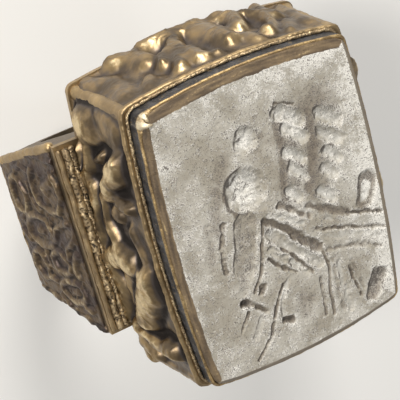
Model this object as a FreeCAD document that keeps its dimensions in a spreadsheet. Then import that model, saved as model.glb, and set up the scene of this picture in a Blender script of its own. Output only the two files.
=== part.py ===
"""A large box-headed signet ring set with an engraved stone tablet (an intaglio gem).

The origin is the centre of the finger hole, +Y runs along the hole and the stone's long side,
and +Z points out of the stone's engraved face. All lengths are millimetres.
"""
import FreeCAD, Part
import Sketcher
import math
import os

# Driving sizes in millimetres, written to the sheet under these names
SIZES = {
    # hoop, seen along the finger hole
    "hole_radius": 9.5,
    "liner_thickness": 0.5,
    "crown_thickness": 1.0,
    "hoop_back_thickness": 1.8,
    "hoop_sheet": 0.45,
    "keel_proud": 1.9,
    "keel_height": 2.4,
    "keel_round": 2.2,
    # hoop, seen from the side: half widths of the band from the head down to the back
    "band_half_at_head": 8.0,
    "band_half_at_keel": 5.7,
    "band_half_at_back": 1.6,
    # stone
    "gem_half_width": 8.27,
    "gem_half_length": 10.66,
    "gem_thickness": 2.6,
    "gem_corner_round": 0.7,
    "bevel_width": 0.7,
    "bevel_drop": 0.2,
    "engraving_depth": 0.5,
    # outward bow of the long and the short sides of the stone and the head
    "side_bow": 0.58,
    "end_bow": 0.74,
    # setting
    "gem_proud": 0.4,
    "collar_thickness": 0.16,
    "collar_height": 1.5,
    "bedding_thickness": 0.2,
    "seat_plate_thickness": 0.35,
    "twisted_wire_radius": 0.13,
    "side_ledge_width": 0.62,
    "end_ledge_width": 0.44,
    "front_plate_thickness": 0.3,
    # head box
    "panel_height": 7.2,
    "panel_sheet": 0.25,
    "side_flare": 0.47,
    "end_flare": 0.46,
    "relief_height": 1.1,
    "corner_strip_proud": 0.3,
    "corner_strip_round": 0.22,
    "base_plate_thickness": 0.5,
    "base_margin": 0.35,
    # wires on the shoulders
    "foot_rope_radius": 0.28,
    "foot_wire_radius": 0.25,
    "edge_bead_radius": 0.3,
    "scroll_wire_radius": 0.17,
    # a cutting tool's reach past the piece that it cuts
    "overrun": 2.0,
}

# Boat-shaped cuts of the stone's engraving: centre as shares of the face's half width and half
# length, half length and half width as shares of the face's half length, depth as a share of the
# engraving depth, then the turn of the long axis in degrees
ENGRAVING_SHARES = {
    "inner_oval_1": (0.30, 0.64, 0.150, 0.095, 0.9, -35.0),
    "inner_oval_2": (0.27, 0.320, 0.110, 0.070, 0.7, -20.0),
    "outer_oval_1": (0.74, 0.540, 0.105, 0.055, 0.7, -25.0),
    "outer_oval_2": (0.71, 0.370, 0.115, 0.060, 0.8, -20.0),
    "outer_oval_3": (0.63, 0.150, 0.105, 0.055, 0.7, -20.0),
}

# Straight round-bottomed grooves of the engraving, in the same terms
GROOVE_SHARES = {
    "oblique_bar_1": (0.08, -0.155, 0.310, 0.045, 0.8, -46.0),
    "oblique_bar_2": (0.03, -0.330, 0.320, 0.040, 0.8, -53.0),
    "body_panel": (-0.42, -0.150, 0.250, 0.100, 0.6, 80.0),
    "leg_groove": (-0.30, -0.680, 0.330, 0.040, 0.7, 68.0),
}

# Round drilled hollows of the stone: centre and radius as shares in the same terms, then depth
HOLLOW_SHARES = {
    "small_ball": (-0.17, 0.65, 0.110, 0.9),
    "large_ball": (-0.29, 0.30, 0.175, 1.2),
}

# The blunt end of a boat-shaped cut, as a share of its middle radius
SPINDLE_TIP_SHARE = 0.4

# The number of sides that stand for the oval of a wire ring
OVAL_SIDES = 12

# Heights up a wall of the head, as shares of the wall's height, at which its relief is given
RELIEF_LEVEL_SHARES = [0.0, 0.16, 0.36, 0.58, 0.80, 1.0]

# Relief of a long wall, column by column from one end to the other: the place along the wall as a
# share of its half length, then the rise at each level as shares of the relief height
SIDE_RELIEF_SHARES = {
    -1.00: (0.05, 0.10, 0.12, 0.10, 0.08, 0.04),
    -0.85: (0.45, 0.82, 0.60, 0.30, 0.20, 0.05),
    -0.71: (0.35, 0.78, 0.98, 0.95, 0.70, 0.15),
    -0.63: (0.20, 0.18, 0.12, 0.12, 0.15, 0.05),
    -0.50: (0.60, 0.82, 0.52, 0.78, 0.55, 0.12),
    -0.34: (0.58, 0.78, 0.74, 1.00, 0.78, 0.18),
    -0.10: (0.55, 0.95, 0.96, 0.58, 0.30, 0.08),
    0.02: (0.12, 0.38, 0.58, 0.26, 0.18, 0.05),
    0.15: (0.42, 0.85, 0.55, 0.40, 0.26, 0.08),
    0.32: (0.38, 0.76, 0.60, 0.58, 0.48, 0.15),
    0.52: (0.40, 0.76, 0.56, 0.96, 0.92, 0.28),
    0.66: (0.28, 0.44, 0.38, 0.52, 0.88, 0.30),
    0.80: (0.55, 1.00, 0.92, 0.44, 0.34, 0.12),
    1.00: (0.05, 0.08, 0.10, 0.06, 0.05, 0.04),
}

# Relief of a short wall, in the same terms
END_RELIEF_SHARES = {
    -1.00: (0.05, 0.05, 0.07, 0.08, 0.06, 0.04),
    -0.84: (0.18, 0.12, 0.30, 0.48, 0.26, 0.08),
    -0.65: (0.22, 0.30, 0.62, 0.54, 0.50, 0.12),
    -0.40: (0.22, 0.28, 0.46, 0.64, 0.42, 0.13),
    -0.18: (0.22, 0.34, 0.46, 0.32, 0.55, 0.20),
    0.02: (0.24, 0.48, 0.76, 0.88, 0.72, 0.20),
    0.31: (0.22, 0.46, 0.62, 0.54, 0.32, 0.08),
    0.46: (0.18, 0.24, 0.27, 0.36, 0.50, 0.14),
    0.82: (0.18, 0.32, 0.44, 0.42, 0.38, 0.10),
    1.00: (0.05, 0.05, 0.06, 0.05, 0.05, 0.04),
}

# Wire ovals on a shoulder: centre along the band and down the shoulder as shares of the half band
# and of the shoulder's length, then half sizes along and down it as shares of the half band
SCROLL_SHARES = {
    "scroll_near_head": (0.53, 0.28, 0.25, 0.24),
    "scroll_at_middle": (0.02, 0.60, 0.17, 0.23),
    "scroll_at_keel": (0.38, 0.79, 0.20, 0.11),
    "scroll_low": (-0.40, 0.79, 0.15, 0.11),
    "scroll_between": (-0.30, 0.40, 0.12, 0.15),
    "scroll_at_edge": (-0.62, 0.36, 0.12, 0.20),
}

# The head's sides, each a quarter turn on from the one before, from the +X side
SIDES = ["right_side", "upper_end", "left_side", "lower_end"]
CORNERS = {
    "upper_right": (1, 1),
    "upper_left": (-1, 1),
    "lower_left": (-1, -1),
    "lower_right": (1, -1),
}

doc = FreeCAD.newDocument("SignetRing")
sheet = doc.addObject("Spreadsheet::Sheet", "Sizes")
for row, (alias, amount) in enumerate(SIZES.items(), start=1):
    sheet.set("A%d" % row, alias)
    sheet.set("B%d" % row, str(amount))
    sheet.setAlias("B%d" % row, alias)
doc.recompute()


class Length:
    """A length or a share, with the sheet expression that it is worked out by."""

    def __init__(self, value, text):
        self.value = value
        self.text = text

    def joined(self, sign, other, value):
        """This length joined to another, or to a plain share, by one sign."""
        return Length(value, "(%s %s %s)" % (self.text, sign, text_of(other)))

    def __add__(self, other):
        return self.joined("+", other, self.value + value_of(other))

    def __sub__(self, other):
        return self.joined("-", other, self.value - value_of(other))

    def __mul__(self, other):
        return self.joined("*", other, self.value * value_of(other))

    def __truediv__(self, other):
        return self.joined("/", other, self.value / value_of(other))

    def __neg__(self):
        return self * -1


def value_of(item):
    """The number that a length or a plain number stands for."""
    if isinstance(item, Length):
        return item.value
    return item


def text_of(item):
    """The expression of a length, or a plain number in brackets."""
    if isinstance(item, Length):
        return item.text
    return "(%.9g)" % item


def size(alias):
    """One driving size, read from the sheet."""
    return Length(float(sheet.get(alias)), "Sizes." + alias)


def bind(item, name, length):
    """Binds one property of an object to the sheet."""
    item.setExpression(name, length.text)


class Cushion:
    """A rectangle with outward-bowed sides: half width, half length and the two bows."""

    def __init__(self, half_x, half_y):
        self.half_x = half_x
        self.half_y = half_y
        self.side_bow = size("side_bow")
        self.end_bow = size("end_bow")

    def grown(self, sides, ends):
        """The same form, larger by one amount at the long sides and another at the ends."""
        return Cushion(self.half_x + sides, self.half_y + ends)


# Levels up the ring
hoop_top = size("hole_radius") + size("liner_thickness") + size("crown_thickness")
hoop_bottom = -(size("hole_radius") + size("hoop_back_thickness"))
head_foot = hoop_top + size("base_plate_thickness")
panel_top = head_foot + size("panel_height")
front_level = panel_top + size("front_plate_thickness")
collar_top = front_level + size("collar_height")
face_level = collar_top + size("gem_proud")
gem_bottom = face_level - size("gem_thickness")
bedding_bottom = gem_bottom - size("bedding_thickness")
seat_bottom = bedding_bottom - size("seat_plate_thickness")

# Outlines of the stone and the head, from the stone outwards
girdle = Cushion(size("gem_half_width"), size("gem_half_length"))
collar_outline = girdle.grown(size("collar_thickness"), size("collar_thickness"))
head_front = girdle.grown(size("side_ledge_width"), size("end_ledge_width"))
head_base = head_front.grown(size("side_flare"), size("end_flare"))
sheet_inset = -size("panel_sheet")

# The ledges hold the relief's foot, the rope and the wire side by side; the keels stand further out
wall_reach = head_base.half_x + size("side_bow") + size("relief_height")
ledge_half_width = wall_reach + size("foot_rope_radius") * 2 + size("foot_wire_radius") * 2
keel_half_width = ledge_half_width + size("keel_proud")


def turned(quarter, outward, along):
    """The plane coordinates of a point given outwards from and along one side of the head."""
    places = [(outward, along), (-along, outward), (-outward, -along), (along, -outward)]
    return places[quarter]


def new_body(label):
    """A body under its own name, which is the node's name."""
    body = doc.addObject("PartDesign::Body", label)
    body.Label = label
    return body


def new_sketch(body, name, role, offset=None):
    """A sketch on one of the body's own origin planes, moved along its normal by an offset."""
    sketch = body.newObject("Sketcher::SketchObject", body.Name + "_" + name)
    plane = [item for item in body.Origin.OriginFeatures if item.Role == role][0]
    sketch.AttachmentSupport = [(plane, "")]
    sketch.MapMode = "FlatFace"
    if offset is not None:
        bind(sketch, "AttachmentOffset.Base.z", offset)
    return sketch


def pin_down(sketch, edge, vertex, x, y):
    """Fixes one end of an edge at a place measured from the sketch's origin."""
    for kind, amount, axis in (("DistanceX", x, -2), ("DistanceY", y, -1)):
        if abs(amount.value) < 1e-9:
            sketch.addConstraint(Sketcher.Constraint("PointOnObject", edge, vertex, axis))
            continue
        if amount.value > 0:
            ends = (-1, 1, edge, vertex)
            positive = amount
        else:
            ends = (edge, vertex, -1, 1)
            positive = -amount
        index = sketch.addConstraint(Sketcher.Constraint(kind, *ends, positive.value))
        bind(sketch, "Constraints[%d]" % index, positive)


def fix_radius(sketch, edge, radius):
    """Binds the radius of a circle or an arc."""
    index = sketch.addConstraint(Sketcher.Constraint("Radius", edge, radius.value))
    bind(sketch, "Constraints[%d]" % index, radius)


def bow_radius(half_chord, bow):
    """The radius of an arc that stands out by the bow over a chord."""
    return (half_chord * half_chord + bow * bow) / (bow * 2)


def vector(x, y):
    """A point of a sketch."""
    return FreeCAD.Vector(x.value, y.value, 0)


def add_cushion(sketch, outline):
    """Adds a closed outline of four bowed sides to a sketch, bound to its sizes."""
    arcs = []
    for quarter in range(4):
        across = quarter % 2 == 0
        outward = outline.half_x if across else outline.half_y
        half_chord = outline.half_y if across else outline.half_x
        bow = outline.side_bow if across else outline.end_bow
        start = turned(quarter, outward, -half_chord)
        middle = turned(quarter, outward + bow, half_chord * 0)
        end = turned(quarter, outward, half_chord)
        arc = sketch.addGeometry(Part.Arc(vector(*start), vector(*middle), vector(*end)))
        arcs.append((arc, start, bow_radius(half_chord, bow)))
    for number, (arc, start, radius) in enumerate(arcs):
        following = arcs[(number + 1) % 4][0]
        sketch.addConstraint(Sketcher.Constraint("Coincident", arc, 2, following, 1))
    for arc, start, radius in arcs:
        pin_down(sketch, arc, 1, *start)
        fix_radius(sketch, arc, radius)


def close_outline(sketch, edges, corners):
    """Adds edges to a sketch as one closed outline, the start of each bound to its corner."""
    numbers = [sketch.addGeometry(edge) for edge in edges]
    for number, following in zip(numbers, numbers[1:] + numbers[:1]):
        sketch.addConstraint(Sketcher.Constraint("Coincident", number, 2, following, 1))
    for number, corner in zip(numbers, corners):
        pin_down(sketch, number, 1, *corner)


def add_polygon(sketch, corners):
    """Adds a closed outline of straight lines to a sketch, each corner bound to its sizes."""
    edges = []
    for number, corner in enumerate(corners):
        following = corners[(number + 1) % len(corners)]
        edges.append(Part.LineSegment(vector(*corner), vector(*following)))
    close_outline(sketch, edges, corners)


def add_circle(sketch, radius):
    """Adds a circle round the sketch's origin."""
    circle = sketch.addGeometry(Part.Circle(FreeCAD.Vector(0, 0, 0), FreeCAD.Vector(0, 0, 1), radius.value))
    sketch.addConstraint(Sketcher.Constraint("Coincident", circle, 3, -1, 1))
    fix_radius(sketch, circle, radius)


def pad(body, sketch, length, both_ways=False):
    """Pads a sketch, upwards or to both sides."""
    feature = body.newObject("PartDesign::Pad", sketch.Name + "_pad")
    feature.Profile = sketch
    if both_ways:
        feature.SideType = "Symmetric"
    bind(feature, "Length", length)
    sketch.Visibility = False
    doc.recompute()
    return feature


def pocket(body, sketch, length):
    """Cuts a sketch downwards out of what the body has so far."""
    before = body.Shape.Volume
    feature = body.newObject("PartDesign::Pocket", sketch.Name + "_pocket")
    feature.Profile = sketch
    bind(feature, "Length", length)
    doc.recompute()
    if body.Shape.Volume > before - 1e-6:
        raise ValueError("the pocket %s cuts nothing" % feature.Name)
    return feature


def edges_along(shape, direction, reach_from=0.0, reach_to=math.inf):
    """Names of a shape's edges that lie along a direction, by how far they are from its axis."""
    names = []
    for number, edge in enumerate(shape.Edges, start=1):
        if len(edge.Vertexes) != 2:
            continue
        start, end = [vertex.Point for vertex in edge.Vertexes]
        run = (end - start).normalize()
        distance = start.cross(direction).Length
        if run.cross(direction).Length < 1e-3 and reach_from < distance < reach_to:
            names.append("Edge%d" % number)
    return names


def fillet(body, name, base, names, radius):
    """Rounds named edges of the body's last feature."""
    feature = body.newObject("PartDesign::Fillet", body.Name + "_" + name)
    feature.Base = (base, names)
    bind(feature, "Radius", radius)
    doc.recompute()
    return feature


def corner_reach(outline):
    """How far a cushion's corners are from its centre."""
    return math.hypot(outline.half_x.value, outline.half_y.value)


def plain_plate(label, outline, bottom, thickness):
    """A flat plate of cushion outline with sharp corners."""
    body = new_body(label)
    sketch = new_sketch(body, "outline", "XY_Plane", bottom)
    add_cushion(sketch, outline)
    pad(body, sketch, thickness)
    return body


def cushion_plate(label, outline, bottom, thickness, corner_round, hole=None, hole_round=None):
    """A flat plate of cushion outline with rounded corners, and a hole of the same kind."""
    body = new_body(label)
    sketch = new_sketch(body, "outline", "XY_Plane", bottom)
    add_cushion(sketch, outline)
    if hole is not None:
        add_cushion(sketch, hole)
    feature = pad(body, sketch, thickness)
    upright = FreeCAD.Vector(0, 0, 1)
    if hole is not None:
        between = (corner_reach(outline) + corner_reach(hole)) / 2
        inner = edges_along(body.Shape, upright, 0.0, between)
        feature = fillet(body, "hole_round", feature, inner, hole_round)
        outer = edges_along(body.Shape, upright, between)
    else:
        outer = edges_along(body.Shape, upright)
    fillet(body, "corner_round", feature, outer, corner_round)
    return body


def place(feature, position, turn):
    """Gives a primitive its turn, and its position bound to the sizes."""
    feature.Placement = FreeCAD.Placement(FreeCAD.Vector(0, 0, 0), turn)
    for letter, amount in zip("xyz", position):
        bind(feature, "Placement.Base." + letter, amount)


def groove(label, middle, half_sizes, long_axis):
    """A lying cylinder, which cuts a straight round-bottomed groove into the stone's face."""
    half_length, half_width, depth = half_sizes
    radius = bow_radius(half_width, depth)
    x, y, level = middle
    start = (x - half_length * long_axis.x, y - half_length * long_axis.y, level + radius - depth)
    cylinder = doc.addObject("Part::Cylinder", label)
    bind(cylinder, "Radius", radius)
    bind(cylinder, "Height", half_length * 2)
    place(cylinder, start, FreeCAD.Rotation(FreeCAD.Vector(0, 0, 1), long_axis))
    return [cylinder]


def spindle(label, middle, half_sizes, long_axis):
    """Two cones base to base, which cut a boat-shaped hollow into the stone's face.

    The middle lies on the face; the half sizes are half the cut's length, half its width and its
    depth.
    """
    half_length, half_width, depth = half_sizes
    radius = bow_radius(half_width, depth)
    x, y, level = middle
    centre = (x, y, level + radius - depth)
    cones = []
    for end, way in (("front", 1), ("back", -1)):
        cone = doc.addObject("Part::Cone", "%s_%s" % (label, end))
        bind(cone, "Radius1", radius)
        bind(cone, "Radius2", radius * SPINDLE_TIP_SHARE)
        bind(cone, "Height", half_length)
        place(cone, centre, FreeCAD.Rotation(FreeCAD.Vector(0, 0, 1), long_axis * way))
        cones.append(cone)
    return cones


def joined(label, pieces):
    """Several solids as one."""
    feature = doc.addObject("Part::MultiFuse", label)
    feature.Shapes = pieces
    feature.Refine = False
    doc.recompute()
    return feature


def engraved_gem():
    """The stone tablet: bowed sides, rounded corners, a shallow bevel and the engraved figure."""
    corner_round = size("gem_corner_round")
    body = cushion_plate("gem_blank", girdle, gem_bottom, size("gem_thickness"), corner_round)
    rounded = body.Tip
    bevel = body.newObject("PartDesign::Chamfer", "gem_bevel")
    top = []
    for number, edge in enumerate(rounded.Shape.Edges, start=1):
        if edge.BoundBox.ZMin > face_level.value - 1e-6:
            top.append("Edge%d" % number)
    bevel.Base = (rounded, top)
    bevel.ChamferType = "Two distances"
    bind(bevel, "Size", size("bevel_width"))
    bind(bevel, "Size2", size("bevel_drop"))
    doc.recompute()
    face_half_width = size("gem_half_width") - size("bevel_width")
    face_half_length = size("gem_half_length") - size("bevel_width")
    cuts = []
    for table, cutter in ((ENGRAVING_SHARES, spindle), (GROOVE_SHARES, groove)):
        for name, (x_share, y_share, long_share, wide_share, depth_share, turn) in table.items():
            middle = (face_half_width * x_share, face_half_length * y_share, face_level)
            half_sizes = (
                face_half_length * long_share,
                face_half_length * wide_share,
                size("engraving_depth") * depth_share,
            )
            angle = math.radians(turn)
            long_axis = FreeCAD.Vector(math.cos(angle), math.sin(angle), 0)
            cuts += cutter(name, middle, half_sizes, long_axis)
    for name, (x_share, y_share, radius_share, depth_share) in HOLLOW_SHARES.items():
        depth = size("engraving_depth") * depth_share
        radius = bow_radius(face_half_length * radius_share, depth)
        ball = doc.addObject("Part::Sphere", name)
        bind(ball, "Radius", radius)
        centre = (face_half_width * x_share, face_half_length * y_share, face_level - depth + radius)
        place(ball, centre, FreeCAD.Rotation())
        cuts.append(ball)
    return boolean("Cut", "engraved_gem", body, joined("engraving", cuts))


def setting():
    """What holds the stone: bedding, seat plate, collar, front plate and the wire at its foot."""
    inner_round = size("gem_corner_round")
    outer_round = inner_round + size("collar_thickness")
    bedding = plain_plate("gem_bedding", girdle, bedding_bottom, size("bedding_thickness"))
    seat = plain_plate("gem_seat_plate", girdle, seat_bottom, size("seat_plate_thickness"))
    collar_height, plate_thickness = size("collar_height"), size("front_plate_thickness")
    collar = cushion_plate(
        "bezel_collar", collar_outline, front_level, collar_height, outer_round, girdle, inner_round
    )
    plate = cushion_plate(
        "front_plate", head_front, panel_top, plate_thickness, outer_round, girdle, inner_round
    )
    # The fine wire is held as a band as wide and as high as the wire is thick
    wire_width = size("twisted_wire_radius") * 2
    wire_outline = collar_outline.grown(wire_width, wire_width)
    wire_round = outer_round + wire_width
    wire = cushion_plate(
        "twisted_wire", wire_outline, front_level, wire_width, wire_round, collar_outline, outer_round
    )
    return [bedding, seat, collar, plate, wire]


def wall_section(body, name, quarter, level_share, rises):
    """One level of a wall: its bowed inner line, and an outer line that goes in and out.

    The rises give the outer line's places along the wall and how far it stands off the sheet there.
    """
    outline = head_front.grown(
        size("side_flare") * (1 - level_share), size("end_flare") * (1 - level_share)
    )
    across = quarter % 2 == 0
    outward = outline.half_x if across else outline.half_y
    half = (outline.half_y if across else outline.half_x) + sheet_inset
    bow = outline.side_bow if across else outline.end_bow
    inward = outward + sheet_inset
    sketch = new_sketch(body, name, "XY_Plane", head_foot + size("panel_height") * level_share)
    corners = []
    for along_share, rise_share in rises:
        bowed = outward + bow * (1 - along_share**2)
        reach = bowed + size("relief_height") * rise_share
        corners.append(turned(quarter, reach, half * along_share))
    inner_start, inner_end = turned(quarter, inward, -half), turned(quarter, inward, half)
    middle = turned(quarter, inward + bow, half * 0)
    outer_line = corners + [inner_end]
    for start, end in zip(outer_line, outer_line[1:]):
        sketch.addGeometry(Part.LineSegment(vector(*start), vector(*end)))
    inner = sketch.addGeometry(Part.Arc(vector(*inner_start), vector(*middle), vector(*inner_end)))
    last = sketch.addGeometry(Part.LineSegment(vector(*inner_start), vector(*corners[0])))
    for number in range(inner - 1):
        sketch.addConstraint(Sketcher.Constraint("Coincident", number, 2, number + 1, 1))
    joints = ((inner - 1, 2, inner, 2), (inner, 1, last, 1), (last, 2, 0, 1))
    for joint in joints:
        sketch.addConstraint(Sketcher.Constraint("Coincident", *joint))
    for number, corner in enumerate(corners):
        pin_down(sketch, number, 1, *corner)
    pin_down(sketch, inner, 1, *inner_start)
    pin_down(sketch, inner, 2, *inner_end)
    fix_radius(sketch, inner, bow_radius(half, bow))
    return sketch


def loft(body, lower, *upper):
    """Joins sketches, one above the other, by straight lines into a solid."""
    feature = body.newObject("PartDesign::AdditiveLoft", body.Name + "_loft")
    feature.Profile = lower
    feature.Sections = list(upper)
    feature.Ruled = True
    doc.recompute()
    return feature


def boolean(kind, label, base, tool):
    """What two solids share (Common), or the first less the second (Cut)."""
    feature = doc.addObject("Part::" + kind, label)
    feature.Label = label
    feature.Base = base
    feature.Tool = tool
    # Joining split faces again fails on some of the small wires
    feature.Refine = False
    doc.recompute()
    return feature


def side_panel(side):
    """One wall of the head: a raised relief on bowed sheet that flares to its foot."""
    quarter = SIDES.index(side)
    relief = SIDE_RELIEF_SHARES if quarter % 2 == 0 else END_RELIEF_SHARES
    body = new_body(side + "_panel")
    levels = []
    for number, level_share in enumerate(RELIEF_LEVEL_SHARES):
        # A wall is followed anticlockwise, so the +X and +Y walls' columns run the other way
        way = 1 if quarter in (0, 3) else -1
        rises = sorted((along_share * way, column[number]) for along_share, column in relief.items())
        levels.append(wall_section(body, "level_%d" % number, quarter, level_share, rises))
    loft(body, *levels)
    return body


def corner_strip(corner):
    """The smooth strip that closes one corner of the head, flaring with the walls."""
    sign_x, sign_y = CORNERS[corner]
    body = new_body(corner + "_corner_strip")
    round_off = size("corner_strip_round")
    slant = math.sqrt(0.5)
    levels = []
    for name, outline, level in (("foot", head_base, head_foot), ("front", head_front, panel_top)):
        inner_x = (outline.half_x - size("panel_sheet")) * sign_x
        inner_y = (outline.half_y - size("panel_sheet")) * sign_y
        outer_x = (outline.half_x + size("corner_strip_proud")) * sign_x
        outer_y = (outline.half_y + size("corner_strip_proud")) * sign_y
        round_x, round_y = outer_x - round_off * sign_x, outer_y - round_off * sign_y
        middle = (round_x + round_off * (sign_x * slant), round_y + round_off * (sign_y * slant))
        corners = [(outer_x, round_y), (round_x, outer_y), (inner_x, outer_y)]
        corners += [(inner_x, inner_y), (outer_x, inner_y)]
        if sign_x != sign_y:
            # A sketch's arcs run anticlockwise, so these two strips are drawn the other way round
            corners = [corners[1], corners[0], corners[4], corners[3], corners[2]]
        sketch = new_sketch(body, name, "XY_Plane", level)
        edges = [Part.Arc(vector(*corners[0]), vector(*middle), vector(*corners[1]))]
        for start, end in zip(corners[1:], corners[2:] + corners[:1]):
            edges.append(Part.LineSegment(vector(*start), vector(*end)))
        close_outline(sketch, edges, corners)
        fix_radius(sketch, 0, round_off)
        levels.append(sketch)
    loft(body, *levels)
    return body


def base_plate():
    """The floor of the head, with two ears that close the tops of the shoulders as ledges."""
    margin = size("base_margin")
    outline = head_base.grown(margin, margin)
    thickness = size("base_plate_thickness")
    body = cushion_plate("base_plate", outline, hoop_top, thickness, size("gem_corner_round"))
    ears = new_sketch(body, "ears", "XY_Plane", hoop_top)
    half_x, half_y = ledge_half_width, size("band_half_at_head")
    add_polygon(ears, [(half_x, -half_y), (half_x, half_y), (-half_x, half_y), (-half_x, -half_y)])
    pad(body, ears, thickness)
    return body


def head_core():
    """The filling that backs the raised walls and carries the seat plate."""
    body = new_body("head_core")
    lower = new_sketch(body, "foot", "XY_Plane", head_foot)
    add_cushion(lower, head_base.grown(sheet_inset, sheet_inset))
    upper = new_sketch(body, "front", "XY_Plane", panel_top)
    add_cushion(upper, head_front.grown(sheet_inset, sheet_inset))
    loft(body, lower, upper)
    well = new_sketch(body, "well", "XY_Plane", panel_top)
    add_cushion(well, girdle)
    pocket(body, well, panel_top - seat_bottom)
    return body


def hoop_outline(sketch, inset):
    """The hoop seen along the finger hole: ledges, keeled shoulders and a round back."""
    top_x = ledge_half_width - inset
    keel_x = keel_half_width - inset
    keel_z = size("keel_height")
    back_radius = size("hole_radius") + size("hoop_back_thickness") - inset
    # The straight flank below the keel meets the round back smoothly
    keel_angle = math.atan2(keel_z.value, keel_x.value)
    lean = math.acos(back_radius.value / math.hypot(keel_x.value, keel_z.value))
    touch = keel_angle - lean
    touch_x = back_radius.value * math.cos(touch)
    touch_z = back_radius.value * math.sin(touch)
    top_right, keel_right = vector(top_x, hoop_top), vector(keel_x, keel_z)
    top_left, keel_left = vector(-top_x, hoop_top), vector(-keel_x, keel_z)
    touch_right = FreeCAD.Vector(touch_x, touch_z, 0)
    touch_left = FreeCAD.Vector(-touch_x, touch_z, 0)
    bottom = FreeCAD.Vector(0, -back_radius.value, 0)
    top = sketch.addGeometry(Part.LineSegment(top_right, top_left))
    shoulder_left = sketch.addGeometry(Part.LineSegment(top_left, keel_left))
    flank_left = sketch.addGeometry(Part.LineSegment(keel_left, touch_left))
    back = sketch.addGeometry(Part.Arc(touch_left, bottom, touch_right))
    flank_right = sketch.addGeometry(Part.LineSegment(touch_right, keel_right))
    shoulder_right = sketch.addGeometry(Part.LineSegment(keel_right, top_right))
    joints = (
        ("Coincident", top, 2, shoulder_left, 1),
        ("Coincident", shoulder_left, 2, flank_left, 1),
        ("Tangent", flank_left, 2, back, 1),
        ("Tangent", back, 2, flank_right, 1),
        ("Coincident", flank_right, 2, shoulder_right, 1),
        ("Coincident", shoulder_right, 2, top, 1),
        ("Coincident", back, 3, -1, 1),
    )
    for joint in joints:
        sketch.addConstraint(Sketcher.Constraint(*joint))
    fix_radius(sketch, back, back_radius)
    pin_down(sketch, top, 1, top_x, hoop_top)
    pin_down(sketch, top, 2, -top_x, hoop_top)
    pin_down(sketch, shoulder_left, 2, -keel_x, keel_z)
    pin_down(sketch, flank_right, 2, keel_x, keel_z)


def hoop_blank(name, inset, hole):
    """The hoop's form within one inset: its outline along the hole, tapered towards the back."""
    outline_body = new_body(name + "_outline")
    outline = new_sketch(outline_body, "profile", "XZ_Plane")
    hoop_outline(outline, inset)
    add_circle(outline, hole)
    pad(outline_body, outline, (size("band_half_at_head") + size("overrun")) * 2, both_ways=True)
    axis = FreeCAD.Vector(0, 1, 0)
    keel_reach = math.hypot(keel_half_width.value - inset.value, size("keel_height").value)
    keels = edges_along(outline_body.Shape, axis, keel_reach - 1e-3, keel_reach + 1e-3)
    fillet(outline_body, "keels", outline_body.Tip, keels, size("keel_round") - inset)
    return boolean("Common", name, outline_body, band(name + "_band", inset))


def band(name, inset):
    """The hoop seen from its side: a band that narrows from the head to the back."""
    at_head = size("band_half_at_head") - inset
    at_keel = size("band_half_at_keel") - inset
    at_back = size("band_half_at_back") - inset
    half = [(at_head, hoop_top), (at_keel, size("keel_height")), (at_back, hoop_bottom)]
    other = [(-across, height) for across, height in reversed(half)]
    body = new_body(name)
    sketch = new_sketch(body, "profile", "YZ_Plane")
    add_polygon(sketch, list(reversed(half + other)))
    pad(body, sketch, (keel_half_width + size("overrun")) * 2, both_ways=True)
    return body


def hoop():
    """The hoop: an open channel of sheet, its liner round the finger hole and its filling."""
    no_inset = size("hoop_sheet") * 0
    liner_outside = size("hole_radius") + size("liner_thickness")
    blank = hoop_blank("hoop_form", no_inset, liner_outside)
    core = hoop_blank("hoop_core", size("hoop_sheet"), liner_outside)
    casing = boolean("Cut", "hoop_casing", blank, core)
    tube = new_body("liner_tube")
    rings = new_sketch(tube, "rings", "XZ_Plane")
    add_circle(rings, liner_outside)
    add_circle(rings, size("hole_radius"))
    pad(tube, rings, (size("band_half_at_head") + size("overrun")) * 2, both_ways=True)
    liner = boolean("Common", "hoop_liner", tube, band("liner_band", no_inset))
    return blank, [casing, liner, core]


def rod(label, start, end, radius):
    """A straight round wire from one point to another."""
    run = FreeCAD.Vector(*[(b - a).value for a, b in zip(start, end)])
    squares = [(b - a) * (b - a) for a, b in zip(start, end)]
    total = squares[0] + squares[1] + squares[2]
    wire = doc.addObject("Part::Cylinder", label)
    wire.Label = label
    bind(wire, "Radius", radius)
    bind(wire, "Height", Length(math.sqrt(total.value), "sqrt(%s)" % total.text))
    place(wire, start, FreeCAD.Rotation(FreeCAD.Vector(0, 0, 1), run))
    doc.recompute()
    return wire


def foot_trim(side, sign):
    """The grained rope and the smooth wire that lie on one ledge beside the head."""
    rope_radius, wire_radius = size("foot_rope_radius"), size("foot_wire_radius")
    wire_x = (ledge_half_width - wire_radius) * sign
    rope_x = wire_x - (wire_radius + rope_radius) * sign
    half = size("band_half_at_head")
    rope_half, wire_half = half - rope_radius, half - wire_radius
    rope_z, wire_z = head_foot + rope_radius, head_foot + wire_radius
    rope = rod(side + "_foot_rope", (rope_x, -rope_half, rope_z), (rope_x, rope_half, rope_z), rope_radius)
    wire = rod(side + "_foot_wire", (wire_x, -wire_half, wire_z), (wire_x, wire_half, wire_z), wire_radius)
    return [rope, wire]


def edge_beads(side, sign, blank):
    """The rounded beads along the two edges of one shoulder, from the ledge to the keel."""
    radius = size("edge_bead_radius")
    fall = hoop_top - size("keel_height")
    start_share = radius / fall
    beads = []
    for name, way in (("upper", 1), ("lower", -1)):
        keel = (keel_half_width * sign, size("band_half_at_keel") * way, size("keel_height"))
        ledge = (ledge_half_width * sign, size("band_half_at_head") * way, hoop_top)
        start = tuple(a + (b - a) * start_share for a, b in zip(ledge, keel))
        label = "%s_%s_edge_bead" % (side, name)
        beads.append(boolean("Cut", label, rod(label + "_wire", start, keel, radius), blank))
    return beads


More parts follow.
